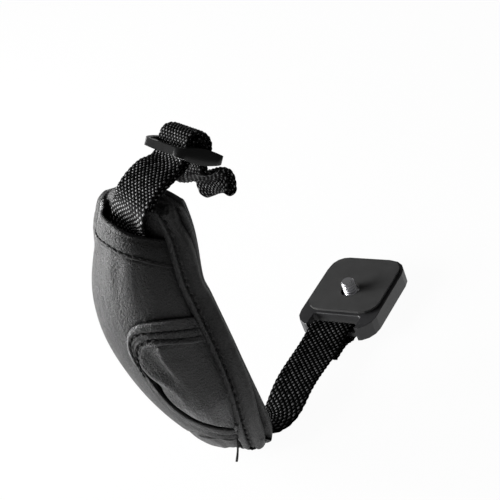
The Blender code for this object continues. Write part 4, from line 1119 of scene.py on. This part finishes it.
def web_piece(name, spans, cell_w=1.0, cell_s=1.06, painted_shadow_level=1.0):
    """Part of the web over (start, end, row spacing) spans, with its weave in the mesh."""
    s = concatenate([np.arange(a, b, gap) for a, b, gap in spans] + [[spans[-1][1]]])
    across_top = linspace(-WEB_HALF, WEB_HALF, 79)
    bend = linspace(pi / 2, -pi / 2, 7)[1:-1]
    edge = WEB_HALF + 0.25 * cos(bend)
    width = concatenate([across_top, edge, across_top[::-1], -edge])
    face = concatenate([0 * across_top + 1, sin(bend), 0 * across_top - 1, -sin(bend)])
    place = WEB_PLACE.at(s)
    along = unit(WEB_PLACE.slope(s))
    across = unit(WEB_WAY.at(s))
    across = unit(across - along * (across * along).sum(-1, keepdims=True))
    out = cross(across, along)
    squeeze = 1 - LUG_GATHER * hill(np.linalg.norm(place - LUG_AT, axis=1), 9.0)
    s, w = meshgrid(s, width, indexing="ij")
    face = np.broadcast_to(face, s.shape)
    i, j = np.floor(w / cell_w), np.floor(s / cell_s)
    x, y = w / cell_w - i - 0.5, s / cell_s - j - 0.5
    # A plain weave: in each cell either the weft or the warp lies on top.
    over = sign(face + 1e-9) * where((i + j) % 2 == 0, 1.0, -1.0)
    bar = sign(cos(pi * x)) * abs(cos(pi * x)) ** 0.6
    weft = yarn(0.26 * over * bar * (1 + 0.22 * bumps(i * 1.7 + 5, j * 1.7, 14)), 0.07, 0.40, 2.1, y)
    warp = yarn(-0.18 * over * cos(pi * y), -0.08, 0.30, 1.8, x)
    high = maximum(warp, weft)
    flat = abs(face) > 0.999
    relief = where(flat, high * (1 - 0.3 * step(abs(w), 8.9, 9.9)), 0.0)
    thick = WEB_T / 2 - 0.10 - 0.22 * step(abs(w), 9.2, 9.95)
    wave = 0.15 * cos(pi * s / cell_s) * step(abs(w), 9.3, 9.9)
    sideways = (w + wave * sign(w)) * squeeze[:, None]
    upward = face * thick + sign(face) * relief
    rings = place[:, None] + across[:, None] * sideways[..., None] + out[:, None] * upward[..., None]
    # The colour follows the yarns' height: painted highlight on the raised weft, painted shade down in the
    # gaps, the warp and the thin side edges kept dark, and a random tone from cell to cell.
    tone = 1.15 * clip((high - 0.01) / 0.28, 0, 1) ** 1.3 * where(weft > warp, 1.0, 0.18)
    tone = where(flat, tone * (0.82 + 0.45 * bumps(i * 1.9 + 3, j * 1.9, 12)), 0.14)
    # Painted shade: the whole piece is scaled by its shadow level, with random tone along it and more painted
    # shade just past the sleeve's mouth.
    shade = painted_shadow_level * (0.85 + 0.25 * bumps(s * 0.15, w * 0.3, 13)) * (1 - 0.28 * hill(s - MOUTH_S - 3.0, 7.0))
    uv = stack([s, w + 40 * (face < 0)], -1)
    strap(loft(name, rings, uv, WEB, {"lift": tone, "shade": shade}), "web", "webbing")


# The lower web gets painted shadow where the camera body would shade it.
web_piece("web_lower", [(0.0, 24.0, 0.45), (24.0, LOW_TURN + 2, 0.30)], 1.3, 1.3, 0.38)
web_piece("web_sleeve", [(LOW_TURN, MOUTH_S + 2, 2.2)])
web_piece("web_upper", [(MOUTH_S, LUG_S + 6, 0.25), (LUG_S + 6, WEB_LENGTH, 0.5)])

# Slide buckle
BUCKLE_W, BUCKLE_L, BUCKLE_BAR, BUCKLE_RAIL, BUCKLE_T = 26.4, 21.6, 3.2, 2.5, 3.0
RAIL_T, MID_T, CORNER, SLOT_CORNER = 6.2, 5.4, 3.6, 0.8
SLOT = (BUCKLE_L - 3 * BUCKLE_BAR) / 2
CUT_REACH = 9


def closed_mesh(name, points, faces):
    points = array(points)
    return mesh_of(name, points, faces, points[:, :2], BUCKLE)


def buckle_body():
    """The frame without its slots: rows of twelve points, with thick rails, bars and middle."""
    half_r = BUCKLE_L / 2
    turn = [half_r - CORNER * (1 - sin(a)) for a in linspace(0, pi / 2, 12)]
    flat = list(linspace(0, half_r - CORNER, 10)[:-1])
    stations = sorted({round(sign * r, 6) for sign in (-1, 1) for r in flat + turn})
    points = []
    for r in stations:
        into = max(0.0, abs(r) - (half_r - CORNER))
        wide = BUCKLE_W / 2 - CORNER + sqrt(max(0.0, CORNER**2 - into**2))
        lens = max(0.0, cos(pi * r / (2 * half_r))) ** 1.1
        rail = BUCKLE_T / 2 + (RAIL_T - BUCKLE_T) / 2 * lens
        bar = BUCKLE_T / 2 + (MID_T - BUCKLE_T) / 2 * (1 - step(abs(r), 1.6, 1.6 + SLOT))
        inside = wide - BUCKLE_RAIL
        slope = inside - 0.6
        top = ((-wide, rail), (-inside, rail), (-slope, bar), (slope, bar), (inside, rail), (wide, rail))
        points += [on_buckle(b, r, n) for b, n in top]
        points += [on_buckle(b, r, -n) for b, n in reversed(top)]
    faces = skin_of(len(stations), 12)[:-2]
    last = (len(stations) - 1) * 12
    for k in range(5):
        quad = (k, k + 1, 10 - k, 11 - k)
        faces += [quad[::-1], [last + corner for corner in quad]]
    return closed_mesh("slide_frame", points, faces)


def cut_slots(obj):
    cutters = []
    reach = BUCKLE_W / 2 - BUCKLE_RAIL - SLOT_CORNER
    for side in (-1, 1):
        low, high = sorted((side * BUCKLE_BAR / 2, side * (BUCKLE_BAR / 2 + SLOT)))
        low, high = low + SLOT_CORNER, high - SLOT_CORNER
        corners = []
        for n in (-CUT_REACH, CUT_REACH):
            for b, r, first in ((reach, high, 0), (-reach, high, 90), (-reach, low, 180), (reach, low, 270)):
                for a in radians(first + linspace(0, 90, 5)):
                    corners.append(on_buckle(b + SLOT_CORNER * cos(a), r + SLOT_CORNER * sin(a), n))
        cutters.append(closed_mesh(f"slot_cutter_{side}", corners, skin_of(2, len(corners) // 2)))
        cut = obj.modifiers.new("slot", "BOOLEAN")
        cut.operation = "DIFFERENCE"
        cut.solver = "EXACT"
        cut.object = cutters[-1]
    graph = bpy.context.evaluated_depsgraph_get()
    bpy.context.view_layer.update()
    mesh = bpy.data.meshes.new_from_object(obj.evaluated_get(graph))
    obj.modifiers.clear()
    obj.data = mesh
    for tool in cutters:
        bpy.data.objects.remove(tool)


buckle = buckle_body()
cut_slots(buckle)
buckle.data.polygons.foreach_set("use_smooth", np.ones(len(buckle.data.polygons), bool))
edges = buckle.modifiers.new("edges", "BEVEL")
edges.width = 0.5 * MM
edges.segments = 4
edges.limit_method = "ANGLE"
edges.angle_limit = radians(32)
buckle.modifiers.new("shading", "WEIGHTED_NORMAL")
strap(buckle, "black_plastic", "slide_buckle")

# Rigid solids keep their shape and get their finish
FINISHES = {"base_plate": PLATE, "rubber_pad": RUBBER, "tripod_screw": STEEL, "screw_clip": STEEL}
for node, looks in FINISHES.items():
    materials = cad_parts[node].data.materials
    materials.clear()
    materials.append(looks)

# Floor and world: white where the camera sees them, soft in what they light
FLOOR_Z, FLOOR_REACH = -8.75, 3000.0
ground = Material("pale_floor", grey(0.86), 0.9, 0.2)
glow = ground.add("Emission", Strength=1.0)
ground.show("Material Output", ground.shader, glow, 0.96, "Camera", "Glossy")
corners = array([(x * FLOOR_REACH, y * FLOOR_REACH, FLOOR_Z) for x, y in ((-1, -1), (1, -1), (1, 1), (-1, 1))])
floor = mesh_of("floor", corners, [(0, 1, 2, 3)], corners[:, :2], ground.looks)

world = bpy.data.worlds.new("studio")
bpy.context.scene.world = world
world.use_nodes = True
sky = Nodes(world.node_tree)
back = sky.tree.nodes["Background"]
back.inputs["Color"].default_value = (1, 1, 1, 1)
back.inputs["Strength"].default_value = 0.15
white = sky.add("Background", Strength=1.0, Color=(1, 1, 1, 1))
sky.show("World Output", back, white, 1.0, "Camera", "Transmission")


# Lamps and camera
def set_up(name, data, place, *ways):
    """A new object at place, with its x, y and z along three ways."""
    obj = bpy.data.objects.new(name, data)
    bpy.context.scene.collection.objects.link(obj)
    matrix = np.eye(4)
    matrix[:3, :3] = stack(ways, -1)
    matrix[:3, 3] = array(place) * MM
    obj.matrix_world = Matrix(matrix.tolist())
    return obj


def lamp(name, place, target, watts, size):
    data = bpy.data.lights.new(name, "AREA")
    data.energy = watts
    data.shape = "RECTANGLE"
    data.size, data.size_y = size[0] * MM, size[1] * MM
    away = unit(array(place) - array(target))
    side = unit(cross(array((0.0, 0.0, 1.0)), away))
    set_up(name, data, place, side, cross(away, side), away)


GRIP_AT, TOP_AT = (-80.0, -25.0, 60.0), (-70.0, -20.0, 105.0)
lamp("key", (-620.0, 330.0, 140.0), GRIP_AT, 13.5, (430.0, 400.0))
lamp("fill", (-640.0, -420.0, 60.0), GRIP_AT, 0.7, (500.0, 360.0))
lamp("edge", (-390.0, 450.0, 275.0), TOP_AT, 2.8, (240.0, 240.0))

CAMERA_AT, LENS, SENSOR = (-192.8, -469.2, 372.9), 102.24, 36.0
right = unit(array((0.8086, -0.4931, -0.3213)))
down = array((-0.5255, -0.3596, -0.7712))
down = unit(down - right * (right @ down))
camera = set_up("camera", bpy.data.cameras.new("camera"), CAMERA_AT, right, -down, -cross(right, down))
camera.data.sensor_width = SENSOR
camera.data.lens = LENS
camera.data.clip_start = 0.02
bpy.context.scene.camera = camera
bpy.context.scene.view_settings.view_transform = "Standard"
